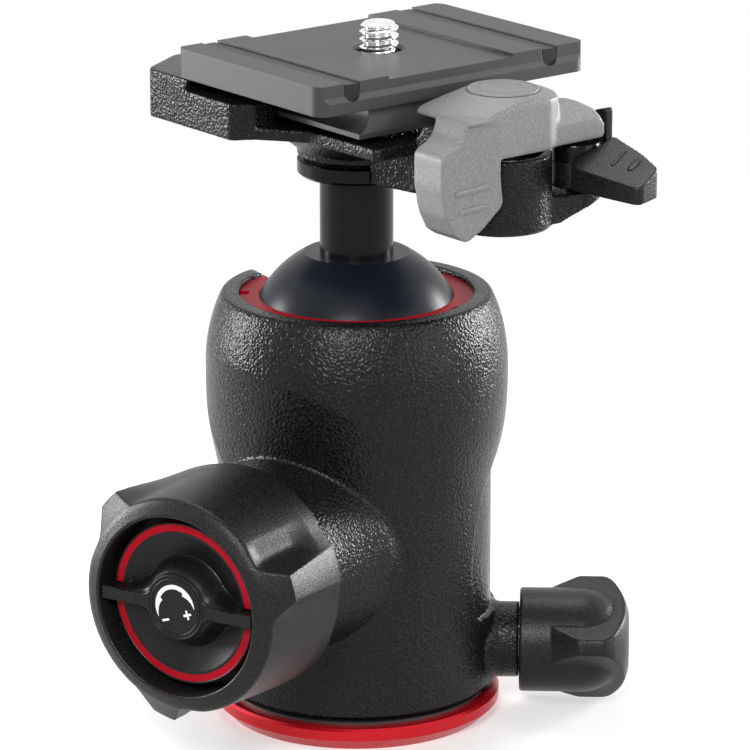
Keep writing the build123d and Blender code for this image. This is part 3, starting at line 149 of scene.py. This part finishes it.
def metal(name, color, roughness, stretch=(1, 1, 1), metallic=1.0):
    """Machined or anodised metal: fine streaks along the cut."""
    s = Shader(name, color, roughness, metallic)
    mapped = s.add("ShaderNodeMapping", {"Vector": s.coords, "Scale": stretch}).outputs["Vector"]
    streak = s.noise(STREAK_MM, 3.0, 0.6, coords=mapped)
    s.bump(streak, STREAK_DEPTH_MM)
    s.link(s.mix_color(s.ramp(streak, 0, 1, 0.3, 0.7), tinted(color, 0.88), color), "Base Color")
    s.link(s.ramp(streak, roughness - 0.04, roughness + 0.05, 0.3, 0.7), "Roughness")
    return s.material


LOOKS = {
    "casting_black": powder_coat("casting_black", (0.0028, 0.0028, 0.0029), 0.46, 0.2, 0.24, 0.18),
    "anodised_red": metal("anodised_red", (0.60, 0.004, 0.014), 0.28, stretch=(1, 1, 6), metallic=0.55),
    "aluminium_bare": metal("aluminium_bare", (0.72, 0.72, 0.73), 0.3),
    "steel": metal("steel", (0.92, 0.92, 0.93), 0.16),
    # the PTFE washer is coloured near-black as painted shade: it stands for the dark gap between the body
    # and the red base
    "ptfe": moulded("ptfe", (0.03, 0.03, 0.03), 0.4, 0.005, 0.5),
    "liner_red": moulded("liner_red", (0.38, 0.001, 0.011), 0.3, 0.006, 0.4, 0.12),
    "seat_polymer": moulded("seat_polymer", (0.8, 0.8, 0.79), 0.4, 0.004, 0.5),
    "ball_black": moulded("ball_black", (0.006, 0.008, 0.012), 0.2, 0.003, 0.32, 0.17),
    "stem_black": moulded("stem_black", (0.003, 0.003, 0.003), 0.25, 0.004, 0.22, 0.16),
    "brass": metal("brass", (0.72, 0.5, 0.22), 0.28),
    "knob_black": moulded("knob_black", (0.006, 0.006, 0.006), 0.26, 0.06, 0.33, 0.22, flecks=0.6),
    "dial_black": moulded("dial_black", (0.004, 0.004, 0.004), 0.22, 0.03, 0.34, 0.2, flecks=0.6),
    "lever_grey": moulded("lever_grey", (0.175, 0.175, 0.177), 0.26, 0.04, 0.46, 0.5, flecks=0.10),
    "plate_grey": moulded("plate_grey", (0.024, 0.025, 0.0265), 0.3, 0.006, 0.47, 0.45, 0.05, 0.2),
    "rubber_black": moulded("rubber_black", (0.010, 0.010, 0.0105), 0.3, 0.02, 0.4, 0.25),
}

CAD_SHARP, PIECE_SHARP = 28, 40          # degrees between faces past which an edge stays sharp


def shade_smooth(mesh, sharp_degrees):
    for polygon in mesh.polygons:
        polygon.use_smooth = True
    mesh.set_sharp_from_angle(angle=radians(sharp_degrees))


slots = {entry["node"]: entry["material_slot"] for entry in frame["record"]["subparts"]}
for name, obj in NODES.items():
    obj.data.materials.clear()
    obj.data.materials.append(LOOKS[slots[name]])
    shade_smooth(obj.data, CAD_SHARP)


# ---------------------------------------------------------------- cast and moulded edges
def soften(node, voxel_mm, passes):
    """Rounds a casting's edges: an even skin over the solid, smoothed a few times."""
    skin = NODES[node].modifiers.new("skin", "REMESH")
    skin.mode = "VOXEL"
    skin.voxel_size = voxel_mm * MM
    skin.use_smooth_shade = True
    smooth = NODES[node].modifiers.new("round", "SMOOTH")
    smooth.factor = 0.5
    smooth.iterations = passes


soften("lever", 0.2, 24)
soften("safety_catch", 0.18, 12)
soften("pan_knob", 0.2, 8)
soften("clamp_platform", 0.25, 4)
soften("body_casting", 0.3, 3)


# ---------------------------------------------------------------- new pieces
def mesh_piece(name, vertices, faces, body, look, place=None):
    """A smooth-shaded mesh, given in millimetres of its own axes, that rides on a CAD body."""
    mesh = bpy.data.meshes.new(name)
    place = place or Matrix()
    mesh.from_pydata([place @ (Vector(v) * MM) for v in vertices], [], faces)
    mesh.validate()
    mesh.update()
    mesh.materials.append(LOOKS[look])
    shade_smooth(mesh, PIECE_SHARP)
    piece = bpy.data.objects.new(name, mesh)
    bpy.context.scene.collection.objects.link(piece)
    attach(piece, body)
    return piece


def frame_at(origin_mm, x_axis, z_axis):
    """The place of a piece: its origin, and where its own x and z point."""
    x = Vector(x_axis).normalized()
    z = Vector(z_axis).normalized()
    y = z.cross(x)
    place = Matrix((x, y, z)).transposed().to_4x4()
    place.translation = Vector(origin_mm) * MM
    return place


# The clamp is turned about the drum's axis; these are upright axes on it, in its own directions.
HEAD_TURN = radians(-18.915)
SCREW_AT = (3.25, 2.05)
LEVER_AT = (30.6, 5.1)
CATCH_AT = (34.0, 17.5)


def on_head(x, y):
    """A place on the clamp, at floor height."""
    return Matrix.Rotation(HEAD_TURN, 4, "Z") @ Matrix.Translation(Vector((x, y, 0)) * MM)


def lathe(profile, steps=96, shape_at=None):
    """A turned form from (radius, height) points, which end on the axis or come round again to a ring."""
    ring = profile[0] == profile[-1]
    points = profile[:-1] if ring else profile[1:-1]
    rows = len(points)
    vertices = []
    for i in range(steps):
        angle = 2 * pi * i / steps
        for radius, height in points:
            r, h = shape_at(angle, radius, height) if shape_at else (radius, height)
            vertices.append((r * cos(angle), r * sin(angle), h))
    bottom = len(vertices)
    if not ring:
        vertices += [(0, 0, profile[0][1]), (0, 0, profile[-1][1])]
    faces = []
    for i in range(steps):
        a = i * rows
        b = (i + 1) % steps * rows
        for k in range(rows if ring else rows - 1):
            n = (k + 1) % rows
            faces.append((a + k, b + k, b + n, a + n))
        if not ring:
            faces.append((bottom, b, a))
            faces.append((a + rows - 1, b + rows - 1, bottom + 1))
    return vertices, faces


def clamped(t):
    return min(1.0, max(0.0, t))


def thread_wave(turns):
    """0 at a thread's root and 1 at its crest, with slanting flanks and small flats."""
    phase = abs((turns % 1.0) * 2 - 1)
    return clamped((phase - 0.16) / 0.66)


# Camera screw: 1/4 inch, 20 turns to the inch, above the plate's field.
SCREW_PITCH = 1.27
SCREW_CREST = 3.175
SCREW_ROOT = 2.44
SCREW_LOW = 111.2
SCREW_TIP = 116.8
SCREW_STEP = 0.07
SCREW_NECK_R = 2.6
SCREW_HEAD_R = 6.0
SCREW_HEAD_LOW, SCREW_HEAD_TOP = 104.2, 106.6
HEAD_EDGE = 0.4


def screw_surface(angle, radius, height):
    if radius < SCREW_CREST - 0.01:
        return radius, height
    wave = thread_wave(height / SCREW_PITCH - angle / (2 * pi))
    run_out = clamped((height - SCREW_LOW - 0.5) / 0.9)
    lead_in = max(0.0, height - (SCREW_TIP - 0.85)) * 0.95
    turn = SCREW_ROOT + (SCREW_CREST - SCREW_ROOT) * wave * run_out
    return min(turn, SCREW_CREST - lead_in), height


def camera_screw():
    rim = SCREW_HEAD_R - HEAD_EDGE
    profile = [(0, SCREW_HEAD_LOW), (rim, SCREW_HEAD_LOW), (SCREW_HEAD_R, SCREW_HEAD_LOW + HEAD_EDGE)]
    profile += [(SCREW_HEAD_R, SCREW_HEAD_TOP - HEAD_EDGE), (rim, SCREW_HEAD_TOP)]
    profile += [(SCREW_NECK_R, SCREW_HEAD_TOP), (SCREW_NECK_R, SCREW_LOW)]
    profile += [(SCREW_CREST, SCREW_LOW + SCREW_STEP * n) for n in range(79)]
    profile += [(2.2, SCREW_TIP), (1.75, SCREW_TIP)]
    profile += [(1.5, SCREW_TIP - 0.12), (0.9, SCREW_TIP - 0.34), (0, SCREW_TIP - 0.4)]
    vertices, faces = lathe(profile, 96, screw_surface)
    piece = mesh_piece("camera_screw_thread", vertices, faces, "camera_screw", "steel", on_head(*SCREW_AT))
    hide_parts("camera_screw")


camera_screw()


def bead(name, ring_r, bead_r, body, look, place, height, squash):
    """A thin rounded ring; squash is its height as a share of its width."""
    steps, around = 120, 10
    vertices = []
    for i in range(steps):
        angle = 2 * pi * i / steps
        for k in range(around):
            turn = 2 * pi * k / around
            r = ring_r + bead_r * cos(turn)
            vertices.append((r * cos(angle), r * sin(angle), height + squash * bead_r * sin(turn)))
    faces = []
    for i in range(steps):
        for k in range(around):
            a = i * around + k
            b = (i + 1) % steps * around + k
            c = (i + 1) % steps * around + (k + 1) % around
            d = i * around + (k + 1) % around
            faces.append((a, b, c, d))
    return mesh_piece(name, vertices, faces, body, look, place)


def slab(outline, low, high, crown=0.0):
    """A flat plate with a given outline, whose top edge is drawn in by the crown."""
    count = len(outline)
    cx = sum(p[0] for p in outline) / count
    cy = sum(p[1] for p in outline) / count
    vertices = [(x, y, low) for x, y in outline]
    vertices += [(x, y, high - crown) for x, y in outline]
    for x, y in outline:
        vertices.append((x - crown * (1 if x > cx else -1), y - crown * (1 if y > cy else -1), high))
    faces = [tuple(range(count))[::-1], tuple(range(2 * count, 3 * count))]
    for level in (0, count):
        for k in range(count):
            n = (k + 1) % count
            faces.append((level + k, level + n, level + count + n, level + count + k))
    return vertices, faces


def polar(radius, degrees):
    return (radius * cos(radians(degrees)), radius * sin(radians(degrees)))


# Dial: generic minus and plus marks and a double arrow, painted on the cap.
KNOB = frame_at((0, 0, 32.4), (1, 0, 0), (0, -1, 0))
CAP_FACE = 52.7
PAINT_LOW, PAINT_TOP = CAP_FACE - 0.05, CAP_FACE + 0.03
MARK_AXIS = 109.0        # degrees round the dial to the arrow's middle


def painted(name, outline):
    vertices, faces = slab(outline, PAINT_LOW, PAINT_TOP)
    mesh_piece(name, vertices, faces, "friction_dial", "seat_polymer", KNOB)


ARROW_BARB, ARROW_TIP = 52.0, 104.0          # degrees from the arrow's middle
ARROW_OUTER, ARROW_BAND, ARROW_BARB_R = 3.7, 3.0, 2.5
ARROW_TIP_WIDTH = 0.05


def arrow_inner(away):
    """Inner radius of the arrow some degrees from its middle: a band, then a barb that runs out to a tip."""
    if away < ARROW_BARB:
        return ARROW_BAND
    run = ARROW_OUTER - ARROW_TIP_WIDTH - ARROW_BARB_R
    return ARROW_BARB_R + run * (away - ARROW_BARB) / (ARROW_TIP - ARROW_BARB)


def dial_arrow():
    """A thin ribbon in two layers, from quads between the arrow's inner and outer lines."""
    turns = [ARROW_TIP * n / 26 for n in range(-26, 27)]
    vertices = []
    for height in (PAINT_LOW, PAINT_TOP):
        for turn in turns:
            for radius in (arrow_inner(abs(turn)), ARROW_OUTER):
                x, y = polar(radius, MARK_AXIS + turn)
                vertices.append((x, y, height))
    top = 2 * len(turns)
    faces = [(0, top, top + 1, 1), (top - 2, top - 1, 2 * top - 1, 2 * top - 2)]
    for k in range(0, top - 2, 2):
        faces.append((k, k + 1, k + 3, k + 2))
        faces.append((top + k, top + k + 2, top + k + 3, top + k + 1))
        faces.append((k, k + 2, top + k + 2, top + k))
        faces.append((k + 1, top + k + 1, top + k + 3, k + 3))
    mesh_piece("dial_arrow", vertices, faces, "friction_dial", "seat_polymer", KNOB)


def bar(x, y, length, width, degrees):
    """Outline of a bar about (x, y), turned by some degrees."""
    c, s = cos(radians(degrees)), sin(radians(degrees))
    corners = [(-length, -width), (length, -width), (length, width), (-length, width)]
    return [(x + (a * c - b * s) / 2, y + (a * s + b * c) / 2) for a, b in corners]


def cross(x, y, reach, half, degrees):
    """Outline of a plus sign about (x, y): half is half an arm's width."""
    c, s = cos(radians(degrees)), sin(radians(degrees))
    arm = [(half, -reach), (half, -half), (reach, -half)]
    corners = []
    for quarter in range(4):
        for a, b in arm:
            for _ in range(quarter):
                a, b = -b, a
            corners.append((a, b))
    return [(x + a * c - b * s, y + a * s + b * c) for a, b in corners]


dial_arrow()
painted("dial_minus", bar(-1.77, -2.35, 1.35, 0.36, MARK_AXIS - 90))
painted("dial_plus", cross(2.35, -0.85, 0.75, 0.18, MARK_AXIS - 90))
bead("dial_cap_ring", 4.55, 0.18, "friction_dial", "dial_black", KNOB, 52.62, 0.9)
bead("dial_hub_ring", 5.15, 0.2, "friction_dial", "dial_black", KNOB, 52.55, 0.9)


# Friction dial: a dish with a round hub and a finger bar that flow down into it.
DIAL_FACE, DIAL_TOP, DIAL_LOW = 50.3, 52.6, 46.6
DISH_EDGE, DIAL_EDGE, DIAL_R = 11.35, 11.7, 13.2
HUB_R, BAR_HALF, BAR_END = 5.35, 1.08, 14.2
RING_SEAT = DIAL_FACE - 1.6
BAR_EDGE = 0.15
SHOULDER = 0.12          # share of the hub's fall that is straight, before it eases into the dish
DISH_DEPTH = 2.6
DISH_R = (DISH_EDGE ** 2 + DISH_DEPTH ** 2) / (2 * DISH_DEPTH)


def blend_min(a, b, width):
    """The smaller of two distances, rounded where they meet."""
    h = clamped(0.5 + 0.5 * (b - a) / width)
    return b + (a - b) * h - width * h * (1 - h)


def ease(t):
    t = clamped(t)
    return t * t * (3 - 2 * t)


def dial_surface(angle, radius, height):
    if height != DIAL_TOP:
        return radius, height
    x, y = radius * cos(angle), radius * sin(angle)
    dish = DIAL_FACE
    if radius < DISH_EDGE:
        dish += DISH_R - DISH_DEPTH - sqrt(DISH_R ** 2 - radius ** 2)
    out = blend_min(abs(y) - BAR_HALF, radius - HUB_R, 1.5)
    run = 0.55 + 2.0 * ease((10.5 - radius) / 4.0)
    fall = clamped((out + 0.12) / run)
    if fall >= SHOULDER:
        rest = (fall - SHOULDER) / (1 - SHOULDER)
        fall = SHOULDER + (1 - SHOULDER) * (0.6 * ease(rest) + 0.4 * rest)
    return radius, DIAL_TOP - (DIAL_TOP - dish) * min(fall, 1.0)


def friction_dial():
    rows = [(DIAL_EDGE * n / 84, DIAL_TOP) for n in range(84, 0, -1)]
    profile = [(0, DIAL_LOW), (DIAL_R, DIAL_LOW), (DIAL_R, RING_SEAT), (DIAL_EDGE, RING_SEAT)]
    profile += [(DIAL_EDGE, DIAL_FACE - 0.3)] + rows + [(0, DIAL_TOP)]
    vertices, faces = lathe(profile, 360, dial_surface)
    piece = mesh_piece("friction_dial_face", vertices, faces, "friction_dial", "dial_black", KNOB)
    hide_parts("friction_dial")
    bar_start = DIAL_EDGE - BAR_EDGE
    for label, side in (("left", -1), ("right", 1)):
        outline = bar(side * (bar_start + BAR_END) / 2, 0, BAR_END - bar_start, 2 * BAR_HALF, 0)
        vertices, faces = slab(outline, RING_SEAT, DIAL_TOP, BAR_EDGE)
        mesh_piece("friction_dial_bar_" + label, vertices, faces, "friction_dial", "dial_black", KNOB)


def dial_rim():
    """The thin lip outside the dial's red ring."""
    inner, low, top = 12.85, DIAL_FACE - 0.3, DIAL_FACE + 0.1
    profile = [(inner, low), (DIAL_R, low), (DIAL_R, DIAL_FACE), (DIAL_R - 0.1, top)]
    profile += [(inner + 0.1, top), (inner, DIAL_FACE), (inner, low)]
    vertices, faces = lathe(profile, 160)
    mesh_piece("friction_dial_edge", vertices, faces, "friction_dial", "dial_black", KNOB)


friction_dial()
dial_rim()


# Ball-lock knob: three finger lobes, each hollowed on one side and broad on the other.
KNOB_START, KNOB_END = 33.5, 52.9
KNOB_REAR_R, KNOB_FRONT_R, KNOB_LIP_R = 18.5, 17.5, 14.6
KNOB_BORE_R, KNOB_SKIRT_R = 4.2, 16.4
KNOB_BAND = 3.5          # length of the round band behind the taper
KNOB_RECESS = 1.6        # depth of the hollow behind the hub
KNOB_POCKET = 7.4        # depth of the dial's pocket
LOBES = (16.5, 136.5, 256.5)


def lobe_height(offset, u):
    """How far a lobe stands out: offset is millimetres round from its middle, u runs from rear to front."""
    if offset >= 0:
        half, run = 1.5 + 1.2 * (1 - u), 3.2 + 1.0 * (1 - u)
    else:
        half, run = 1.5 + 1.5 * (1 - u), 3.4 + 7.0 * (1 - u)
    t = (abs(offset) - half) / run
    rise = 1.0 if t <= 0 else max(0.0, 1 - t) ** 2
    reach = 0.7 + 2.6 * ease(u * 1.05)
    hollow = 0.0
    if offset > 0:
        along = ease((u - 0.16) / 0.25) * (1 - ease((u - 0.80) / 0.2))
        hollow = 0.75 * ease(1 - abs(offset - 5.6) / 3.4) * along
    return reach * rise - hollow


def knob_surface(angle, radius, height):
    if radius < KNOB_FRONT_R - 0.6:
        return radius, height
    u = (height - KNOB_START) / (KNOB_END - KNOB_START)
    extra = 0.0
    for lobe in LOBES:
        offset = (angle - radians(lobe) + pi) % (2 * pi) - pi
        if abs(offset) < 1.0:
            extra += lobe_height(offset * radius, u)
    crown = KNOB_FRONT_R + (KNOB_END - 1.3 - height) / 0.75
    edge = 0.45 * (1 - ease((height - KNOB_START) / 0.8))
    return min(radius + extra, max(crown, radius)) - (edge if extra else 0), height


def lock_knob():
    hub, pocket = KNOB_START + KNOB_RECESS, KNOB_END - KNOB_POCKET
    edge, band = KNOB_START + 0.4, KNOB_START + KNOB_BAND
    draw, taper = KNOB_REAR_R - KNOB_FRONT_R, KNOB_END - 1.5 - band
    profile = [(KNOB_BORE_R, hub), (KNOB_SKIRT_R, hub), (KNOB_SKIRT_R, KNOB_START), (18.0, KNOB_START)]
    profile += [(18.3, KNOB_START + 0.12), (KNOB_REAR_R, edge)]
    profile += [(KNOB_REAR_R, edge + (band - edge) * n / 12) for n in range(1, 12)]
    profile += [(KNOB_REAR_R - draw * n / 56, band + taper * n / 56) for n in range(57)]
    profile += [(17.35, KNOB_END - 1.15), (17.0, KNOB_END - 0.85), (16.2, KNOB_END - 0.45)]
    profile += [(15.3, KNOB_END - 0.12), (15.08, KNOB_END - 0.02), (14.9, KNOB_END)]
    profile += [(14.72, KNOB_END - 0.06), (KNOB_LIP_R, KNOB_END - 0.25)]
    profile += [(KNOB_LIP_R, pocket), (KNOB_BORE_R, pocket), (KNOB_BORE_R, hub)]
    vertices, faces = lathe(profile, 540, knob_surface)
    piece = mesh_piece("lock_knob_grip", vertices, faces, "lock_knob", "knob_black", KNOB)
    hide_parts("lock_knob")


def knob_washer():
    """A ring that fills the gap between the knob and its boss."""
    inner, outer = 9.0, 15.6
    low, high = KNOB_START - 0.9, KNOB_START + KNOB_RECESS + 0.05
    profile = [(inner, low), (outer, low), (outer, high), (inner, high), (inner, low)]
    vertices, faces = lathe(profile, 96)
    mesh_piece("lock_knob_washer", vertices, faces, "lock_knob", "stem_black", KNOB)


lock_knob()
knob_washer()


# Lever: plain rings on the hub's disc, and two ribs low on the thumb face.
LEVER = on_head(*LEVER_AT)
bead("lever_disc_rim", 5.45, 0.3, "lever", "lever_grey", LEVER, 110.25, 0.8)
bead("lever_disc_ring", 3.6, 0.22, "lever", "lever_grey", LEVER, 110.3, 0.8)


def rounded_bar(length, width, steps=8):
    """Outline of a bar with round ends, about its middle."""
    half = length / 2 - width / 2
    ends = [polar(width / 2, -90 + 180 * n / steps) for n in range(steps + 1)]
    right = [(half + x, y) for x, y in ends]
    return right + [(-x, -y) for x, y in right]


def domed(outline, low, high, inset):
    """A raised patch with a softly rounded edge."""
    rise = high - low
    layers = [(0.0, low), (0.0, low + rise * 0.5), (0.35 * inset, low + rise * 0.87), (inset, high)]
    reach = max(abs(x) for x, y in outline)
    across = max(abs(y) for x, y in outline)
    vertices = []
    for draw, z in layers:
        vertices += [(x * (1 - draw / reach), y * (1 - draw / across), z) for x, y in outline]
    count = len(outline)
    faces = [tuple(range(count))[::-1], tuple(range(3 * count, 4 * count))]
    for level in (0, count, 2 * count):
        for k in range(count):
            n = (k + 1) % count
            faces.append((level + k, level + n, level + count + n, level + count + k))
    return vertices, faces


THUMB_FACE_START, THUMB_FACE_TURN = (7.6, -6.8), -8
RIB_WIDTH, RIB_TILT, RIB_ALONG = 1.1, 6, 5.1


def on_thumb_face(along_mm, height, tilt):
    """A place on the lever's thumb face: millimetres along the face, height above the floor, and a tilt."""
    face = Matrix.Rotation(radians(THUMB_FACE_TURN), 4, "Z")
    start = Matrix.Translation(Vector((*THUMB_FACE_START, 0)) * MM)
    along = Matrix.Translation(Vector((0, -along_mm, height)) * MM)
    stand = frame_at((0, 0, 0), (0, 1, 0), (1, 0, 0))
    return LEVER @ start @ face @ along @ stand @ Matrix.Rotation(radians(tilt), 4, "Z")


for label, height, length in (("upper", 97.0, 6.4), ("lower", 93.9, 5.0)):
    vertices, faces = domed(rounded_bar(length, RIB_WIDTH), -0.4, 0.28, 0.3)
    place = on_thumb_face(RIB_ALONG, height, RIB_TILT)
    mesh_piece("lever_rib_" + label, vertices, faces, "lever", "lever_grey", place)


# Safety catch: two pressed marks on the thumb pad, whose top slopes down outwards and up towards the back.
PAD_SLOPE_X, PAD_SLOPE_Y = -0.12, 0.39
PAD_CORNER = (4.4, -5.3, 98.1)
MARK_TURN = 106


def on_catch(x, y, turn):
    """A place on the catch's sloping top."""
    corner_x, corner_y, corner_z = PAD_CORNER
    height = corner_z + PAD_SLOPE_X * (x - corner_x) + PAD_SLOPE_Y * (y - corner_y)
    spot = on_head(*CATCH_AT) @ Vector((x * MM, y * MM, height * MM))
    spin = Matrix.Rotation(HEAD_TURN, 3, "Z")
    dx, dy = polar(1, turn)
    long_way = spin @ Vector((dx, dy, PAD_SLOPE_X * dx + PAD_SLOPE_Y * dy))
    return frame_at(spot / MM, long_way, spin @ Vector((-PAD_SLOPE_X, -PAD_SLOPE_Y, 1)))


for label, x, y, length, width in (("inner", 9.9, 0.3, 4.6, 0.8), ("outer", 13.4, 0.5, 3.8, 1.5)):
    vertices, faces = domed(rounded_bar(length, width), -0.5, 0.18, 0.25)
    mesh_piece("catch_mark_" + label, vertices, faces, "catch", "knob_black", on_catch(x, y, MARK_TURN))


def catch_spring_cap():
    """A cap over the catch's spring, under the lever's nose."""
    profile = [(0, 97.5), (3.9, 97.5), (3.9, 100.2), (3.75, 100.6), (3.3, 100.85), (0, 100.95)]
    vertices, faces = lathe(profile, 64)
    mesh_piece("catch_spring_cap", vertices, faces, "catch", "stem_black", on_head(*CATCH_AT))


catch_spring_cap()


# Trigger pin: its foot is rounded and a little short, clear of the softened corners of its bore.
PIN_SHORT, PIN_SLIM, PIN_EDGE = 0.4, 0.03, 0.5


def trigger_pin():
    low, high = (Vector(corner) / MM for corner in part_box("trigger_pin"))
    middle = (low + high) / 2
    reach = (high.x - low.x) / 2 - PIN_SLIM
    foot = low.z + PIN_SHORT
    profile = [(0, foot), (reach - PIN_EDGE, foot), (reach - 0.15, foot + 0.15), (reach, foot + PIN_EDGE)]
    profile += [(reach, high.z - PIN_EDGE), (reach - 0.15, high.z - 0.15)]
    profile += [(reach - PIN_EDGE, high.z), (0, high.z)]
    vertices, faces = lathe(profile, 64)
    place = Matrix.Translation(Vector((middle.x, middle.y, 0)) * MM)
    piece = mesh_piece("trigger_pin_button", vertices, faces, "trigger", "brass", place)
    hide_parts("trigger_pin")


trigger_pin()


# Tripod thread: 3/8 inch, 16 turns to the inch, inside the insert.
BASE_PITCH = 1.5875
BASE_THREAD_R, BASE_SLEEVE_R, BASE_THREAD_DEPTH = 4.76, 4.9, 0.85
BASE_LOW, BASE_TOP, BASE_STEP = 0.2, 8.6, 0.12


def base_thread_surface(angle, radius, height):
    if radius > BASE_THREAD_R:
        return radius, height
    wave = thread_wave(height / BASE_PITCH + angle / (2 * pi))
    ends = ease((height - 0.15) / 0.9) * ease((BASE_TOP - height) / 0.9)
    return BASE_THREAD_R - BASE_THREAD_DEPTH * wave * ends, height


def base_thread():
    profile = [(BASE_SLEEVE_R, BASE_LOW)]
    profile += [(BASE_THREAD_R, BASE_LOW + BASE_STEP * n) for n in range(71)]
    profile += [(BASE_SLEEVE_R, BASE_TOP), (BASE_SLEEVE_R, BASE_LOW)]
    vertices, faces = lathe(profile, 96, base_thread_surface)
    mesh_piece("base_thread_turns", vertices, faces, "base", "steel")


base_thread()


# ---------------------------------------------------------------- camera
CAMERA_AT = Vector((0.4082, -0.6337, 0.2819))
AZIMUTH = radians(32.56)
PITCH = radians(16.599)
FOCAL_PX = 4791.8
PICTURE_PX = 750
SENSOR_MM = 36

forward = Vector((-sin(AZIMUTH) * cos(PITCH), cos(AZIMUTH) * cos(PITCH), -sin(PITCH)))
camera_data = bpy.data.cameras.new("camera")
camera_data.sensor_width = SENSOR_MM
camera_data.lens = FOCAL_PX * SENSOR_MM / PICTURE_PX
camera_data.clip_start = 0.01
camera = bpy.data.objects.new("camera", camera_data)
camera.location = CAMERA_AT
camera.rotation_euler = forward.to_track_quat("-Z", "Y").to_euler()
bpy.context.scene.collection.objects.link(camera)
bpy.context.scene.camera = camera


# ---------------------------------------------------------------- studio
def seen_directly(tree):
    """1 for rays from the camera, a mirror or glass, and 0 for the light itself."""
    path = tree.nodes.new("ShaderNodeLightPath")
    value = path.outputs["Is Camera Ray"]
    for other in ("Is Glossy Ray", "Is Transmission Ray"):
        either = tree.nodes.new("ShaderNodeMath")
        either.operation = "MAXIMUM"
        tree.links.new(value, either.inputs[0])
        tree.links.new(path.outputs[other], either.inputs[1])
        value = either.outputs[0]
    return value


def mixed(tree, fac, first, second):
    mix = tree.nodes.new("ShaderNodeMixShader")
    tree.links.new(fac, mix.inputs["Fac"])
    tree.links.new(first, mix.inputs[1])
    tree.links.new(second, mix.inputs[2])
    return mix.outputs[0]


world = bpy.data.worlds.new("studio")
bpy.context.scene.world = world
world.use_nodes = True
tree = world.node_tree
dim = tree.nodes["Background"]
dim.inputs["Color"].default_value = (1, 1, 1, 1)
dim.inputs["Strength"].default_value = 0.2
white = tree.nodes.new("ShaderNodeBackground")
white.inputs["Color"].default_value = (1, 1, 1, 1)
white.inputs["Strength"].default_value = 1.0
sky = mixed(tree, seen_directly(tree), dim.outputs[0], white.outputs[0])
tree.links.new(sky, tree.nodes["World Output"].inputs["Surface"])


def softbox(name, position, target, width, height, power):
    light = bpy.data.lights.new(name, "AREA")
    light.shape = "RECTANGLE"
    light.size = width
    light.size_y = height
    light.energy = power
    lamp = bpy.data.objects.new(name, light)
    lamp.location = position
    lamp.rotation_euler = (Vector(target) - Vector(position)).to_track_quat("-Z", "Y").to_euler()
    lamp.visible_camera = False
    bpy.context.scene.collection.objects.link(lamp)


def beside(degrees, distance, height):
    """A point round the object: degrees to the right of the camera's side, metres away and metres up."""
    side = Vector((cos(AZIMUTH), sin(AZIMUTH), 0))
    front = Vector((sin(AZIMUTH), -cos(AZIMUTH), 0))
    around = radians(degrees)
    return side * distance * sin(around) + front * distance * cos(around) + Vector((0, 0, height))


MIDDLE = (0, 0, 0.07)
FLOOR_HALF = 3.0
SHADOW_NEAR, SHADOW_FAR = 0.10, 0.35         # the floor fades to plain white between these radii

softbox("left", beside(-106, 0.6, 0.16), MIDDLE, 0.12, 0.3, 4.2)
softbox("right", beside(118, 0.6, 0.16), MIDDLE, 0.17, 0.28, 4.4)
softbox("front", beside(-10, 0.65, 0.45), MIDDLE, 0.22, 0.16, 4.4)
softbox("top", beside(-170, 0.25, 0.75), MIDDLE, 0.3, 0.3, 2.4)
softbox("fill", beside(62, 0.9, 0.3), MIDDLE, 0.6, 0.6, 3.2)

floor_mesh = bpy.data.meshes.new("floor")
corners = [(FLOOR_HALF * x, FLOOR_HALF * y, 0) for x, y in ((-1, -1), (1, -1), (1, 1), (-1, 1))]
floor_mesh.from_pydata(corners, [], [(0, 1, 2, 3)])
floor = bpy.data.objects.new("floor", floor_mesh)
bpy.context.scene.collection.objects.link(floor)
paper = Shader("paper", (0.6, 0.6, 0.6), 0.9, 0.0, 0.0)
paper.link(paper.mix_color(paper.noise(3.0), (0.59, 0.59, 0.59), (0.61, 0.61, 0.61)), "Base Color")
lift = paper.add("ShaderNodeEmission", {"Strength": 0.40})
both = paper.add("ShaderNodeAddShader")
paper.tree.links.new(paper.bsdf.outputs[0], both.inputs[0])
paper.tree.links.new(lift.outputs[0], both.inputs[1])
blank = paper.add("ShaderNodeEmission", {"Strength": 1.0})
away = paper.add("ShaderNodeVectorMath", {0: paper.coords}, operation="LENGTH").outputs["Value"]
far = paper.ramp(away, 0.0, 1.0, SHADOW_NEAR, SHADOW_FAR)
shown = mixed(paper.tree, far, both.outputs[0], blank.outputs[0])
dull = paper.add("ShaderNodeBsdfDiffuse", {"Color": (0.4, 0.4, 0.4, 1)})
surface = mixed(paper.tree, seen_directly(paper.tree), dull.outputs[0], shown)
paper.tree.links.new(surface, paper.tree.nodes["Material Output"].inputs["Surface"])
floor_mesh.materials.append(paper.material)

bpy.context.scene.view_settings.view_transform = "Standard"
